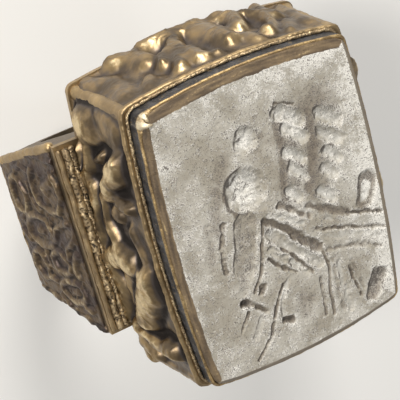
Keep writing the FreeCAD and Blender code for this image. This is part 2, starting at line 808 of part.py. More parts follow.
def oval_ring(label, half_long, half_wide, wire_radius, position, turn):
    """A flat ring of many-sided oval outline that reaches as far below its plane as above it."""
    body = new_body(label)
    sketch = new_sketch(body, "outlines", "XY_Plane")
    for growth in (wire_radius, -wire_radius):
        corners = []
        for number in range(OVAL_SIDES):
            angle = math.tau * number / OVAL_SIDES
            corners.append(
                ((half_long + growth) * math.cos(angle), (half_wide + growth) * math.sin(angle))
            )
        add_polygon(sketch, corners)
    pad(body, sketch, wire_radius * 2, both_ways=True)
    place(body, position, turn)
    return body


def shoulder_scrolls(side, sign):
    """Wire ovals that lie on the face of one shoulder between the ledge and the keel."""
    radius = size("scroll_wire_radius")
    fall = hoop_top - size("keel_height")
    half_band = size("band_half_at_head")
    down = FreeCAD.Vector(size("keel_proud").value * sign, 0, -fall.value).normalize()
    outward = FreeCAD.Vector(-down.z * sign, 0, down.x * sign)
    scrolls = []
    for name, (along_share, down_share, half_along_share, half_down_share) in SCROLL_SHARES.items():
        # The wire's middle is its own radius above the shoulder's face
        position = (
            (ledge_half_width + size("keel_proud") * down_share) * sign + radius * outward.x,
            half_band * along_share,
            hoop_top - fall * down_share + radius * outward.z,
        )
        if half_along_share > half_down_share:
            long_axis = FreeCAD.Vector(0, 1, 0)
        else:
            long_axis = down
        turn = FreeCAD.Rotation(long_axis, outward.cross(long_axis), outward, "ZXY")
        half_long = half_band * max(half_along_share, half_down_share)
        half_wide = half_band * min(half_along_share, half_down_share)
        label = "%s_%s" % (side, name)
        scrolls.append(oval_ring(label, half_long, half_wide, radius, position, turn))
    return scrolls


def build():
    """All the ring's pieces, in the order that a jeweller puts them together."""
    pieces = [engraved_gem()]
    pieces += setting()
    for side in SIDES:
        pieces.append(side_panel(side))
    for corner in CORNERS:
        pieces.append(corner_strip(corner))
    pieces.append(base_plate())
    pieces.append(head_core())
    blank, parts = hoop()
    pieces += parts
    for side, sign in (("left", -1), ("right", 1)):
        pieces += foot_trim(side, sign)
        pieces += edge_beads(side, sign, blank)
        pieces += shoulder_scrolls(side, sign)
    doc.recompute()
    return pieces


def checked(pieces):
    """Stops the build at a failed object or an unsound solid."""
    for item in doc.Objects:
        if "Invalid" in item.State or "Error" in item.State:
            raise ValueError("%s failed: %s" % (item.Name, item.State))
    for piece in pieces:
        if piece.Shape.isNull() or not piece.Shape.isValid() or not piece.Shape.Solids:
            raise ValueError("%s has no sound solid" % piece.Label)
    return pieces


os.makedirs("parts", exist_ok=True)
for piece in checked(build()):
    piece.Shape.exportStep("parts/%s.step" % piece.Label)
    print(piece.Label, len(piece.Shape.Solids), round(piece.Shape.Volume, 3))
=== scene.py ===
"""The look of the box-headed signet ring with an engraved stone tablet.

Lengths in the tables are millimetres; a piece is put into metres when its mesh is made. The walls,
the stone and the wires are worked out as grids of points and stand for the plain solids.
"""
import math

import bmesh
import bpy
import numpy as np
from mathutils import Matrix, Vector, noise


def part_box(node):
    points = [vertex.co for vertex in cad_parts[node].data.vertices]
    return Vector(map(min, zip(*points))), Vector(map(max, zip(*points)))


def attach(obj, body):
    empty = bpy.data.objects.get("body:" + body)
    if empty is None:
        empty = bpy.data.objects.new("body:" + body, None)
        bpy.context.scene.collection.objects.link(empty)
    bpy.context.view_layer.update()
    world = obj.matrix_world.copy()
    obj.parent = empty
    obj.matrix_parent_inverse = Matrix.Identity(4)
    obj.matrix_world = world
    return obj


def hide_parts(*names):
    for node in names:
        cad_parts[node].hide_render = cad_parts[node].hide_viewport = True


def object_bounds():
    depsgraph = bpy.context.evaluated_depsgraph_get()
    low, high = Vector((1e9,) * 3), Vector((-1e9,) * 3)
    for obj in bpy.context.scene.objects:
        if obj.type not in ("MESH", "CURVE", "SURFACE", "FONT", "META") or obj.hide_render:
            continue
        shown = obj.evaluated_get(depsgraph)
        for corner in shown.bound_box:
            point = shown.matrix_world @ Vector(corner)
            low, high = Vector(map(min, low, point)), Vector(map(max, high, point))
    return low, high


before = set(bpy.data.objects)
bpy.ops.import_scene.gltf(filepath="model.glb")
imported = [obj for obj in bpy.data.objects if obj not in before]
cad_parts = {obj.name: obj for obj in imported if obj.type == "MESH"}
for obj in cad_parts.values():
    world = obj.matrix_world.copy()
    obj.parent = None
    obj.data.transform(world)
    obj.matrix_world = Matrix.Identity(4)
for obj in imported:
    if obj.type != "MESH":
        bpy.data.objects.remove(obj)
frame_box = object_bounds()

MM = 0.001
ALONG = np.array([0.0, 1.0, 0.0])
UPWARD = np.array([0.0, 0.0, 1.0])
rng = np.random.default_rng(20)


# Sizes taken from the solids


def span(node):
    """Lowest and highest corner of a solid, in millimetres."""
    low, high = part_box(node)
    return np.array(low) / MM, np.array(high) / MM


gem_low, gem_high = span("engraved_gem")
core_low, core_high = span("head_core")
plate_high = span("front_plate")[1]
COLLAR_TOP = span("bezel_collar")[1][2]
FACE = gem_high[2]
FRONT = plate_high[2]
WALL_FOOT, WALL_TOP = core_low[2], core_high[2]
# How far the long and the short sides bow outwards
SIDE_BOW, END_BOW = 0.58, 0.74
STONE_X, STONE_Y = gem_high[0] - SIDE_BOW, gem_high[1] - END_BOW
FRONT_X, FRONT_Y = plate_high[0] - SIDE_BOW, plate_high[1] - END_BOW
# Thickness of the wall sheet, and how much wider the head is at its foot
SHEET = 0.25
FLARE_X = core_high[0] + SHEET - plate_high[0]
FLARE_Y = core_high[1] + SHEET - plate_high[1]
# How round the collar's corners are, the stone's bevel and its drop, and the collar's thickness
CORNER = 0.7
BEVEL, BEVEL_DROP = 0.7, 0.2
COLLAR = 0.16
# Half widths of the hoop's band, and how far out and how high its keel is
HEAD_BAND, KEEL_BAND = 8.0, 5.7
KEEL_PROUD, KEEL_LEVEL = 1.9, 2.4


# Shader arithmetic


class Value:
    """One number of a finish. Arithmetic on it adds the nodes that work it out."""

    def __init__(self, finish, socket):
        self.finish = finish
        self.socket = socket

    def worked(self, operation, *items):
        return self.finish.node("ShaderNodeMath", {"operation": operation}, dict(enumerate(items)))

    def __add__(self, other):
        return self.worked("ADD", self, other)

    def __radd__(self, other):
        return self.worked("ADD", other, self)

    def __sub__(self, other):
        return self.worked("SUBTRACT", self, other)

    def __rsub__(self, other):
        return self.worked("SUBTRACT", other, self)

    def __mul__(self, other):
        return self.worked("MULTIPLY", self, other)

    def __rmul__(self, other):
        return self.worked("MULTIPLY", other, self)

    def between(self, low, high):
        """0 below the low value, 1 above the high one, smooth between."""
        settings = {"interpolation_type": "SMOOTHSTEP"}
        return self.finish.node("ShaderNodeMapRange", settings, {0: self, 1: low, 2: high})


class Finish:
    """A material whose colour, gloss and grain are worked out from places on the piece."""

    def __init__(self, name, **constants):
        self.material = bpy.data.materials.new(name)
        self.material.use_nodes = True
        self.tree = self.material.node_tree
        self.shader = self.tree.nodes["Principled BSDF"]
        for socket, amount in constants.items():
            self.shader.inputs[socket.replace("_", " ")].default_value = amount
        self.place = self.node("ShaderNodeTexCoord", {}, {}, "Object")

    def node(self, kind, settings, sockets, output=0):
        """Any node: its settings, what goes into its sockets, and the socket that comes out."""
        made = self.tree.nodes.new(kind)
        for name, amount in settings.items():
            setattr(made, name, amount)
        for socket, item in sockets.items():
            self.feed(made.inputs[socket], item)
        return Value(self, made.outputs[output])

    def feed(self, socket, item):
        """Links a worked-out value to a socket, or sets a plain number or colour there."""
        if isinstance(item, Value):
            self.tree.links.new(item.socket, socket)
        elif isinstance(item, tuple) and len(item) == 3 and len(socket.default_value) == 4:
            socket.default_value = (*item, 1.0)
        else:
            socket.default_value = item

    def grain(self, size, detail, roughness=0.55, stretch=None):
        """Cloudy variation about 0.5, with clouds of a size in millimetres."""
        place = self.place
        if stretch:
            place = self.node("ShaderNodeMapping", {}, {"Vector": place, "Scale": stretch})
        sockets = {"Vector": place, "Scale": 1.0 / (size * MM), "Detail": detail, "Roughness": roughness}
        return self.node("ShaderNodeTexNoise", {}, sockets)

    def cells(self, size):
        """Distance to the nearest of scattered points a size apart, in shares of that size."""
        return self.node("ShaderNodeTexVoronoi", {}, {"Vector": self.place, "Scale": 1.0 / (size * MM)})

    def kept(self, *names):
        """Numbers that the mesh carries at its points."""
        return [self.node("ShaderNodeAttribute", {"attribute_name": name}, {}, "Fac") for name in names]

    def mix(self, factor, first, second):
        """The first colour where the factor is 0 and the second where it is 1."""
        return self.node("ShaderNodeMix", {"data_type": "RGBA"}, {0: factor, 6: first, 7: second}, 2)

    def lay(self, factor, tone):
        """Lays a tone over the colour so far, where the factor is above 0."""
        self.colour = self.mix(factor, self.colour, tone)

    def bump(self, height, depth, strength):
        """Small relief, its depth in millimetres."""
        sockets = {"Strength": strength, "Distance": depth * MM, "Height": height}
        self.feed(self.shader.inputs["Normal"], self.node("ShaderNodeBump", {}, sockets))

    def set(self, **sockets):
        """Feeds the shader's own sockets, the base colour with the colour that was laid."""
        for name, item in {"Base_Color": self.colour, **sockets}.items():
            self.feed(self.shader.inputs[name.replace("_", " ")], item)


# The finishes

GOLD = (0.56, 0.40, 0.19)
PALE_GOLD = (0.80, 0.66, 0.42)
BRONZE = (0.30, 0.215, 0.120)
UMBER = (0.125, 0.095, 0.065)
SLATE = (0.140, 0.128, 0.125)
# Near black: painted shadow in the deepest hollows of walls and shoulders, and dirt with painted shade
# between a wire's grains
GRIME_AND_SHADE = (0.022, 0.018, 0.016)


def worn_metal(name, low, middle, high, gloss, grit):
    """Old gilt bronze: one tone in the body, another where it is rubbed, and dirt in the pits."""
    finish = Finish(name, Specular_IOR_Level=0.5)
    cloud = finish.grain(1.6, 5.0)
    fine = finish.grain(0.22, 4.0, 0.62)
    specks = finish.cells(0.16)
    body = finish.mix(cloud.between(0.25, 0.75), low, middle)
    rubbed = (fine * 0.60 + cloud * 0.45).between(0.48, 0.80)
    finish.colour = finish.mix(rubbed * 0.6, body, high)
    dirt = finish.grain(0.5, 6.0, 0.7).between(0.58, 0.76)
    finish.lay(dirt * 0.6, UMBER)
    finish.set(Metallic=0.85 - dirt * 0.5, Roughness=gloss + fine * 0.22 + dirt * 0.25)
    finish.bump(fine * 0.7 + specks * 0.3 - dirt * 0.6, grit, 0.9)
    return finish.material


def raised_sheet():
    """The walls: gold on the high places, partly painted light, brown on the slopes, slate, painted shade
    and shadow in the hollows.
    """
    finish = Finish("raised_sheet", Specular_IOR_Level=0.15)
    rise, hollow = finish.kept("rise", "hollow")
    cloud = finish.grain(1.9, 4.0, 0.5)
    patch = finish.grain(0.55, 4.0, 0.55)
    fine = finish.grain(0.11, 4.0, 0.6)
    finish.colour = finish.mix(cloud.between(0.38, 0.62), UMBER, BRONZE)
    finish.lay((patch * 0.5 + cloud * 0.5).between(0.50, 0.62) * 0.5, SLATE)
    # Gold where the rise is high: worn gilt, and on the end walls painted light where they lean back towards
    # the stone
    high = (rise * 0.9 + (cloud - 0.5) * 1.2 + (patch - 0.5) * 0.8).between(0.40, 1.15)
    finish.lay(high * 0.75, (0.47, 0.335, 0.165))
    # Painted highlight: cream on the highest places
    cream = (high * 0.85 + patch * 0.30 + (fine - 0.5) * 0.35).between(0.68, 1.10)
    finish.lay(cream * 0.7, PALE_GOLD)
    # Painted shade in the hollows and painted black shadow in the deepest of them
    shade = (hollow + (patch - 0.5) * 0.4 + (cloud - 0.5) * 0.5).between(-0.05, 0.40)
    finish.lay(shade * 0.85, (0.088, 0.076, 0.074))
    deep = (hollow + (patch - 0.5) * 0.3).between(0.22, 0.72)
    finish.lay(deep, GRIME_AND_SHADE)
    pits = (fine + (patch - 0.5) * 0.5).between(0.66, 0.76)
    finish.lay(pits * 0.45, UMBER)
    finish.set(Metallic=0.90 - deep * 0.8, Roughness=0.33 + patch * 0.10 + deep * 0.35)
    finish.bump(patch * 0.7 + fine * 0.3, 0.03, 0.6)
    return finish.material


def pale_stone():
    """The tablet: pale grey, frosted white near its cuts, tan in some of them, with painted shade along
    their left and upper edges, brown at its bevel.
    """
    finish = Finish("pale_stone", IOR=1.52, Specular_IOR_Level=0.4)
    tone, edge_shade, bevel = finish.kept("tone", "edge_shade", "bevel")
    near, vein, gilt, rime = finish.kept("near", "vein", "gilt", "rime")
    cloud = finish.grain(2.4, 5.0, 0.6)
    patch = finish.grain(0.7, 6.0, 0.65)
    fine = finish.grain(0.17, 5.0, 0.7)
    sand = finish.grain(0.075, 3.0, 0.6)
    finish.colour = finish.mix(cloud.between(0.38, 0.62), (0.335, 0.306, 0.250), (0.46, 0.434, 0.380))
    finish.lay(patch.between(0.46, 0.60) * 0.45, (0.34, 0.305, 0.245))
    finish.lay((tone + (patch - 0.5) * 0.7).between(0.05, 0.95) * 0.70, (0.53, 0.525, 0.495))
    tan = (0.0 - tone + (patch - 0.5) * 0.9 + (fine - 0.5) * 0.6).between(0.08, 0.75)
    finish.lay(tan * 0.85, (0.180, 0.148, 0.112))
    crust = (near * 0.27 + cloud * 0.36 + patch * 0.60 + fine * 0.72 + rime * 0.22).between(0.84, 1.01)
    black = (0.0 - tone + (fine - 0.5) * 0.8 + (patch - 0.5) * 0.4).between(0.95, 1.35)
    finish.lay(black * 0.9, (0.035, 0.030, 0.027))
    frost = crust * (1.0 - tan * 0.7)
    finish.lay(frost * 0.86, (0.82, 0.80, 0.75))
    # Painted shade along the left and upper edges of the cuts
    painted_shade = (edge_shade * 1.2 + (fine - 0.5) * 1.3 + (patch - 0.5) * 1.1).between(0.38, 0.80)
    finish.lay(painted_shade * 0.85, (0.085, 0.070, 0.058))
    pits = (sand * 0.62 + fine * 0.5 + patch * 0.25 + near * 0.07 - tone * 0.05).between(0.72, 0.785)
    finish.lay(pits * 0.9, (0.10, 0.085, 0.072))
    veined = (vein + (fine - 0.5) * 0.6).between(0.20, 0.75)
    edge = finish.mix(veined, (0.085, 0.060, 0.038), (0.185, 0.132, 0.076))
    streak = (vein + (fine - 0.5) * 1.1).between(0.74, 1.0)
    edge = finish.mix(streak * gilt * 0.75, edge, (0.48, 0.355, 0.18))
    edge = finish.mix((1.0 - gilt) * 0.55, edge, (0.31, 0.275, 0.225))
    finish.lay((bevel + (fine - 0.5) * 0.35).between(0.42, 0.60), edge)
    finish.set(Roughness=0.46 + frost * 0.28 + fine * 0.12)
    finish.bump(fine * 0.6 + sand * 0.4 + frost * 0.25, 0.05, 0.9)
    return finish.material


def collar_sheet():
    """The collar: a dark blue-grey wall with bright specks under a thin gold lip, and a painted highlight on
    its folded tab.
    """
    finish = Finish("collar_sheet", Specular_IOR_Level=0.5)
    lip, tab = finish.kept("lip", "tab")
    fine = finish.grain(0.12, 5.0, 0.65)
    cloud = finish.grain(0.9, 5.0, 0.6)
    streak = finish.grain(0.22, 5.0, 0.65, (1.0, 1.0, 0.35))
    finish.colour = finish.mix(cloud.between(0.40, 0.62), (0.040, 0.042, 0.050), (0.105, 0.108, 0.120))
    finish.lay(streak.between(0.56, 0.68) * 0.7, (0.24, 0.18, 0.10))
    finish.lay(fine.between(0.62, 0.70), (0.58, 0.55, 0.48))
    gilt = finish.mix((fine * 0.6 + cloud * 0.5).between(0.45, 0.65), (0.26, 0.18, 0.095), GOLD)
    gilt = finish.mix((fine * 0.5 + cloud * 0.5).between(0.58, 0.68), gilt, PALE_GOLD)
    finish.lay((lip + (fine - 0.5) * 0.6).between(0.40, 0.85), gilt)
    # Painted highlight: the folded tab is painted pale cream
    bright = (tab * lip + (fine - 0.5) * 1.6).between(0.30, 0.90)
    finish.lay(bright * 0.9, (0.74, 0.64, 0.46))
    finish.set(Metallic=0.80 - bright * 0.2, Roughness=0.36 + cloud * 0.2)
    finish.bump(fine * 0.7 + streak * 0.3, 0.035, 0.9)
    return finish.material


def grained_metal(name, bright, middle, glow=0.9):
    """A grained wire: bright on the grains, dark between them with dirt and painted shade."""
    finish = Finish(name, Specular_IOR_Level=0.5)
    groove = finish.kept("groove")[0]
    fine = finish.grain(0.10, 4.0, 0.6)
    patch = finish.grain(0.45, 4.0, 0.6)
    cloud = finish.grain(1.4, 5.0, 0.6)
    top = (1.0 - groove + (cloud - 0.5) * 1.2 + (patch - 0.5) * 1.2).between(0.45, 1.25)
    finish.colour = finish.mix(top * glow, middle, bright)
    # Dirt and painted shade in the grooves between the grains
    dirt = (groove + (patch - 0.5) * 1.3 + (fine - 0.5) * 0.6).between(0.35, 0.95)
    finish.lay(dirt * 0.85, GRIME_AND_SHADE)
    finish.set(Metallic=0.88 - groove * 0.3, Roughness=0.40 + fine * 0.2 + groove * 0.2)
    finish.bump(fine * 0.6 + patch * 0.4, 0.03, 0.8)
    return finish.material


def chased_sheet():
    """The shoulders' faces: worn low ridges, gold-brown with a painted highlight on their tops, in front of
    dull violet-brown hollows with painted shade.
    """
    finish = Finish("chased_sheet", Specular_IOR_Level=0.5)
    rise, hollow = finish.kept("rise", "hollow")
    cloud = finish.grain(1.5, 4.0, 0.55)
    patch = finish.grain(0.45, 5.0, 0.6)
    fine = finish.grain(0.12, 4.0, 0.6)
    finish.colour = finish.mix(cloud.between(0.40, 0.60), (0.090, 0.068, 0.060), (0.155, 0.110, 0.068))
    finish.lay((patch * 0.5 + cloud * 0.5).between(0.52, 0.62) * 0.5, SLATE)
    high = (rise + (cloud - 0.5) * 1.6 + (patch - 0.5) * 1.1).between(0.40, 1.30)
    finish.lay(high * 0.75, (0.265, 0.196, 0.115))
    # Painted highlight: pale gold on the tops of the ridges
    finish.lay((high * 0.6 + patch * 0.6).between(0.80, 1.0) * 0.35, PALE_GOLD)
    # Painted shade in the hollows
    deep = (hollow + (patch - 0.5) * 0.9).between(0.15, 0.95)
    finish.lay(deep * 0.85, GRIME_AND_SHADE)
    pits = (fine + (patch - 0.5) * 0.5).between(0.64, 0.74)
    finish.lay(pits * 0.5, UMBER)
    finish.set(Metallic=0.88 - deep * 0.5, Roughness=0.36 + patch * 0.12 + deep * 0.3)
    finish.bump(patch * 0.6 + fine * 0.4, 0.035, 0.7)
    return finish.material


def dull_filling():
    """The packing behind the sheet."""
    finish = Finish("dull_filling", Specular_IOR_Level=0.2)
    cloud, fine = finish.grain(0.8, 5.0), finish.grain(0.15, 4.0)
    finish.colour = finish.mix(cloud, (0.16, 0.13, 0.10), (0.30, 0.26, 0.20))
    finish.set(Roughness=0.8 + fine * 0.1)
    finish.bump(fine, 0.05, 0.6)
    return finish.material


RAISED = raised_sheet()
STONE = pale_stone()
COLLAR_SHEET = collar_sheet()
CHASED = chased_sheet()
GRAINED = grained_metal("grained_wire", (0.72, 0.57, 0.35), (0.30, 0.22, 0.13))
RUBBED = grained_metal("rubbed_wire", (0.48, 0.36, 0.20), (0.25, 0.18, 0.105), 0.8)
TRIM = worn_metal("gilt_trim", (0.24, 0.172, 0.095), (0.42, 0.305, 0.165), GOLD, 0.33, 0.02)
BODY = worn_metal(
    "worn_bronze", (0.110, 0.086, 0.060), (0.165, 0.122, 0.078), (0.27, 0.20, 0.115), 0.42, 0.04
)
FILLING = dull_filling()


# Meshes from grids of points


def spots_at(x, y, z):
    """Points from their three places, each a number or a grid of numbers."""
    return np.stack(np.broadcast_arrays(x, y, z), axis=-1)


def clouds(points, size, seed, octaves=3):
    """Smooth variation about 0 at a grid of points, with clouds of a size in millimetres."""
    flat = points.reshape(-1, 3)
    amount = np.empty(len(flat))
    shift = Vector((seed, seed * 1.7, seed * 0.6))
    for number, point in enumerate(flat):
        amount[number] = noise.fractal(Vector(point) / size + shift, 1.0, 2.0, octaves)
    return amount.reshape(points.shape[:-1])


def grid_faces(rows, columns, wrap_rows=False, wrap_columns=False):
    """The faces of a grid of points laid row after row."""
    row = np.arange(rows if wrap_rows else rows - 1)
    column = np.arange(columns if wrap_columns else columns - 1)
    r, c = np.meshgrid(row, column, indexing="ij")
    r, c = r.ravel(), c.ravel()
    below, beside = (r + 1) % rows, (c + 1) % columns
    corners = [r * columns + c, r * columns + beside, below * columns + beside, below * columns + c]
    return [tuple(face) for face in np.stack(corners, axis=1)]


def tube_faces(rows, sides, closed=False):
    """The faces of rings of points; a tube that isn't closed into a loop gets two end faces."""
    faces = grid_faces(rows, sides, closed, True)
    if closed:
        return faces
    total = rows * sides
    return faces + [tuple(range(sides - 1, -1, -1)), tuple(range(total - sides, total))]


def grid_border(rows, columns):
    """The points round the outside of a grid, in order."""
    total = rows * columns
    border = list(range(columns)) + list(range(2 * columns - 1, total, columns))
    border += list(range(total - 2, total - columns - 1, -1))
    return border + list(range(total - 2 * columns, 0, -columns))


def keep(mesh, label, amounts):
    """Gives a mesh a number at each of its points."""
    amounts = np.asarray(amounts, float).ravel()
    mesh.attributes.new(label, "FLOAT", "POINT").data.foreach_set("value", amounts)


def added(name, data):
    """A new object, put into the scene."""
    made = bpy.data.objects.new(name, data)
    bpy.context.scene.collection.objects.link(made)
    return made


def piece(name, points, faces, finish, nodes, kept=None):
    """A smooth piece from points in millimetres, which may stand for solids."""
    mesh = bpy.data.meshes.new(name)
    mesh.from_pydata((np.asarray(points) * MM).tolist(), [], faces)
    mesh.validate()
    facing = bmesh.new()
    facing.from_mesh(mesh)
    bmesh.ops.recalc_face_normals(facing, faces=facing.faces)
    facing.to_mesh(mesh)
    facing.free()
    for label, amounts in (kept or {}).items():
        keep(mesh, label, amounts)
    mesh.materials.append(finish)
    mesh.shade_smooth()
    made = added(name, mesh)
    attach(made, "root")
    if nodes:
        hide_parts(*nodes)
    return made


def stroke_field(x, y, strokes, blend):
    """Raised or sunk strokes on a plane: each is (points, radius from-to, height, steepness)."""
    field = np.zeros_like(x)
    for points, (first_radius, last_radius), height, steepness in strokes:
        best = np.zeros_like(x)
        runs = max(len(points) - 1, 1)
        for number in range(runs):
            ax, ay = points[number]
            bx, by = points[min(number + 1, len(points) - 1)]
            dx, dy = bx - ax, by - ay
            along = np.clip(((x - ax) * dx + (y - ay) * dy) / max(dx * dx + dy * dy, 1e-9), 0, 1)
            radius = first_radius + (last_radius - first_radius) * (number + along) / runs
            away = np.hypot(x - ax - dx * along, y - ay - dy * along) / radius
            best = np.maximum(best, np.clip(1 - away**2, 0, 1) ** steepness)
        raised = best * height
        if height < 0:
            field = field + raised
            continue
        mixed = np.clip(0.5 + 0.5 * (raised - field) / blend, 0, 1)
        field = field * (1 - mixed) + raised * mixed + blend * mixed * (1 - mixed) * (best > 0)
    return field


def softened(field, turns):
    """A grid's values, each averaged with its neighbours' a number of times."""
    for _ in range(turns):
        padded = np.pad(field, 1, mode="edge")
        field = (padded[:-2, 1:-1] + padded[2:, 1:-1] + padded[1:-1, :-2] + padded[1:-1, 2:]) / 4
    return field


# The four raised walls

# Places along a wall as shares of its half length and up it as shares of its height, then the
# radius at the stroke's two ends, its height in millimetres and how its flanks fall
SIDE_FOLDS = [
    ([(-1.0, 0.5), (1.0, 0.5)], (5.0, 5.0), 0.20, 0.6),
    ([(-0.83, 0.12), (-0.92, 0.30)], (0.95, 0.7), 0.80, 0.55),
    ([(-0.67, 0.22), (-0.71, 0.52), (-0.76, 0.86)], (1.0, 0.85), 1.08, 0.50),
    ([(-0.64, 0.00), (-0.42, 0.10), (-0.20, 0.06)], (0.70, 0.80), 0.88, 0.55),
    ([(-0.56, 0.46), (-0.38, 0.66), (-0.20, 0.84)], (1.30, 1.50), 1.08, 0.55),
    ([(-0.44, 0.34), (-0.24, 0.40)], (0.8, 0.9), 0.75, 0.6),
    ([(-0.13, 0.12), (-0.08, 0.40), (-0.12, 0.54)], (1.05, 1.1), 1.10, 0.50),
    ([(0.39, 0.17), (0.15, 0.11), (-0.02, 0.10)], (0.60, 0.62), 0.92, 0.50),
    ([(0.36, 0.36), (0.18, 0.30), (0.02, 0.33)], (0.50, 0.62), 0.80, 0.50),
    ([(0.24, 0.50)], (0.75, 0.75), 0.62, 0.7),
    ([(0.16, 0.72), (-0.06, 0.86)], (0.55, 0.5), 0.45, 0.6),
    ([(0.68, 0.92), (0.55, 0.74), (0.41, 0.50)], (0.95, 0.95), 1.16, 0.50),
    ([(0.38, 0.72), (0.34, 0.94)], (0.50, 0.45), 0.85, 0.55),
    ([(0.72, 0.30), (0.56, 0.18), (0.36, 0.02)], (0.55, 0.70), 0.88, 0.50),
    ([(0.84, 0.30)], (1.55, 1.55), 1.14, 0.50),
    ([(0.86, 0.60), (0.84, 0.84)], (1.15, 0.95), 0.46, 0.35),
    ([(0.66, 0.50), (0.60, 0.38)], (0.34, 0.28), 0.72, 0.6),
    ([(0.98, 0.10), (0.99, 0.95)], (0.30, 0.30), 0.25, 0.5),
    ([(-0.99, 0.10), (-0.99, 0.95)], (0.30, 0.30), 0.25, 0.5),
    ([(0.015, -0.02)], (0.75, 0.75), -0.60, 0.8),
    ([(0.46, 0.38), (0.30, 0.66)], (0.55, 0.45), -0.42, 0.8),
    ([(-0.64, 0.28), (-0.655, 0.90)], (0.26, 0.36), -0.60, 0.7),
    ([(0.76, 0.06)], (0.70, 0.70), -0.40, 0.8),
    ([(0.72, 0.60)], (0.45, 0.45), -0.35, 0.8),
    ([(-0.30, 0.28), (-0.56, 0.26)], (0.32, 0.28), -0.35, 0.8),
    ([(-0.05, 0.74), (0.08, 0.56)], (0.6, 0.5), -0.20, 0.8),
]
END_FOLDS = [
    ([(-1.0, 0.5), (1.0, 0.5)], (5.0, 5.0), 0.20, 0.6),
    ([(-0.93, 0.10), (-0.80, 0.34), (-0.86, 0.74)], (0.95, 0.85), 0.46, 0.70),
    ([(-0.62, 0.02), (-0.50, 0.10), (-0.48, 0.38)], (1.05, 0.90), 1.02, 0.62),
    ([(-0.60, 0.72), (-0.70, 0.92)], (0.65, 0.50), 0.46, 0.65),
    ([(-0.34, 0.02), (-0.10, 0.04), (0.14, 0.02)], (0.90, 0.95), 1.10, 0.62),
    ([(-0.10, 0.12), (-0.26, 0.38), (-0.43, 0.62)], (0.62, 0.50), 1.02, 0.55),
    ([(-0.10, 0.12), (-0.22, 0.50), (-0.36, 0.86)], (0.60, 0.62), 0.94, 0.60),
    ([(0.10, 0.08), (0.16, 0.36), (0.17, 0.70)], (1.10, 0.88), 1.08, 0.62),
    ([(-0.17, 0.62), (-0.17, 0.86)], (0.80, 0.85), 0.92, 0.62),
    ([(-0.02, 0.88)], (0.65, 0.65), 0.66, 0.65),
    ([(0.34, 0.02), (0.45, 0.10), (0.35, 0.48)], (1.05, 0.72), 1.16, 0.60),
    ([(0.30, 0.72), (0.36, 0.94)], (0.70, 0.60), 0.62, 0.65),
    ([(0.57, 0.10), (0.66, 0.28), (0.62, 0.58), (0.52, 0.80), (0.46, 0.76)], (0.46, 0.42), 1.05, 0.55),
    ([(0.72, 0.04), (0.74, 0.40)], (0.75, 0.70), 0.94, 0.62),
    ([(0.76, 0.62), (0.66, 0.92)], (0.60, 0.50), 0.52, 0.65),
    ([(0.92, 0.08), (0.90, 0.80)], (0.62, 0.55), 0.46, 0.65),
    ([(-0.07, 0.28), (0.00, 0.58), (0.04, 0.95)], (0.26, 0.26), -0.42, 0.8),
    ([(0.52, 0.46)], (0.42, 0.42), -0.42, 0.8),
    ([(-0.46, 0.78), (-0.56, 0.52)], (0.40, 0.32), -0.20, 0.8),
    ([(0.20, 0.92)], (0.40, 0.40), -0.22, 0.8),
]


def head_reach(up):
    """Half the head's width and half its length at a share of its height."""
    return FRONT_X + FLARE_X * (1 - up), FRONT_Y + FLARE_Y * (1 - up)


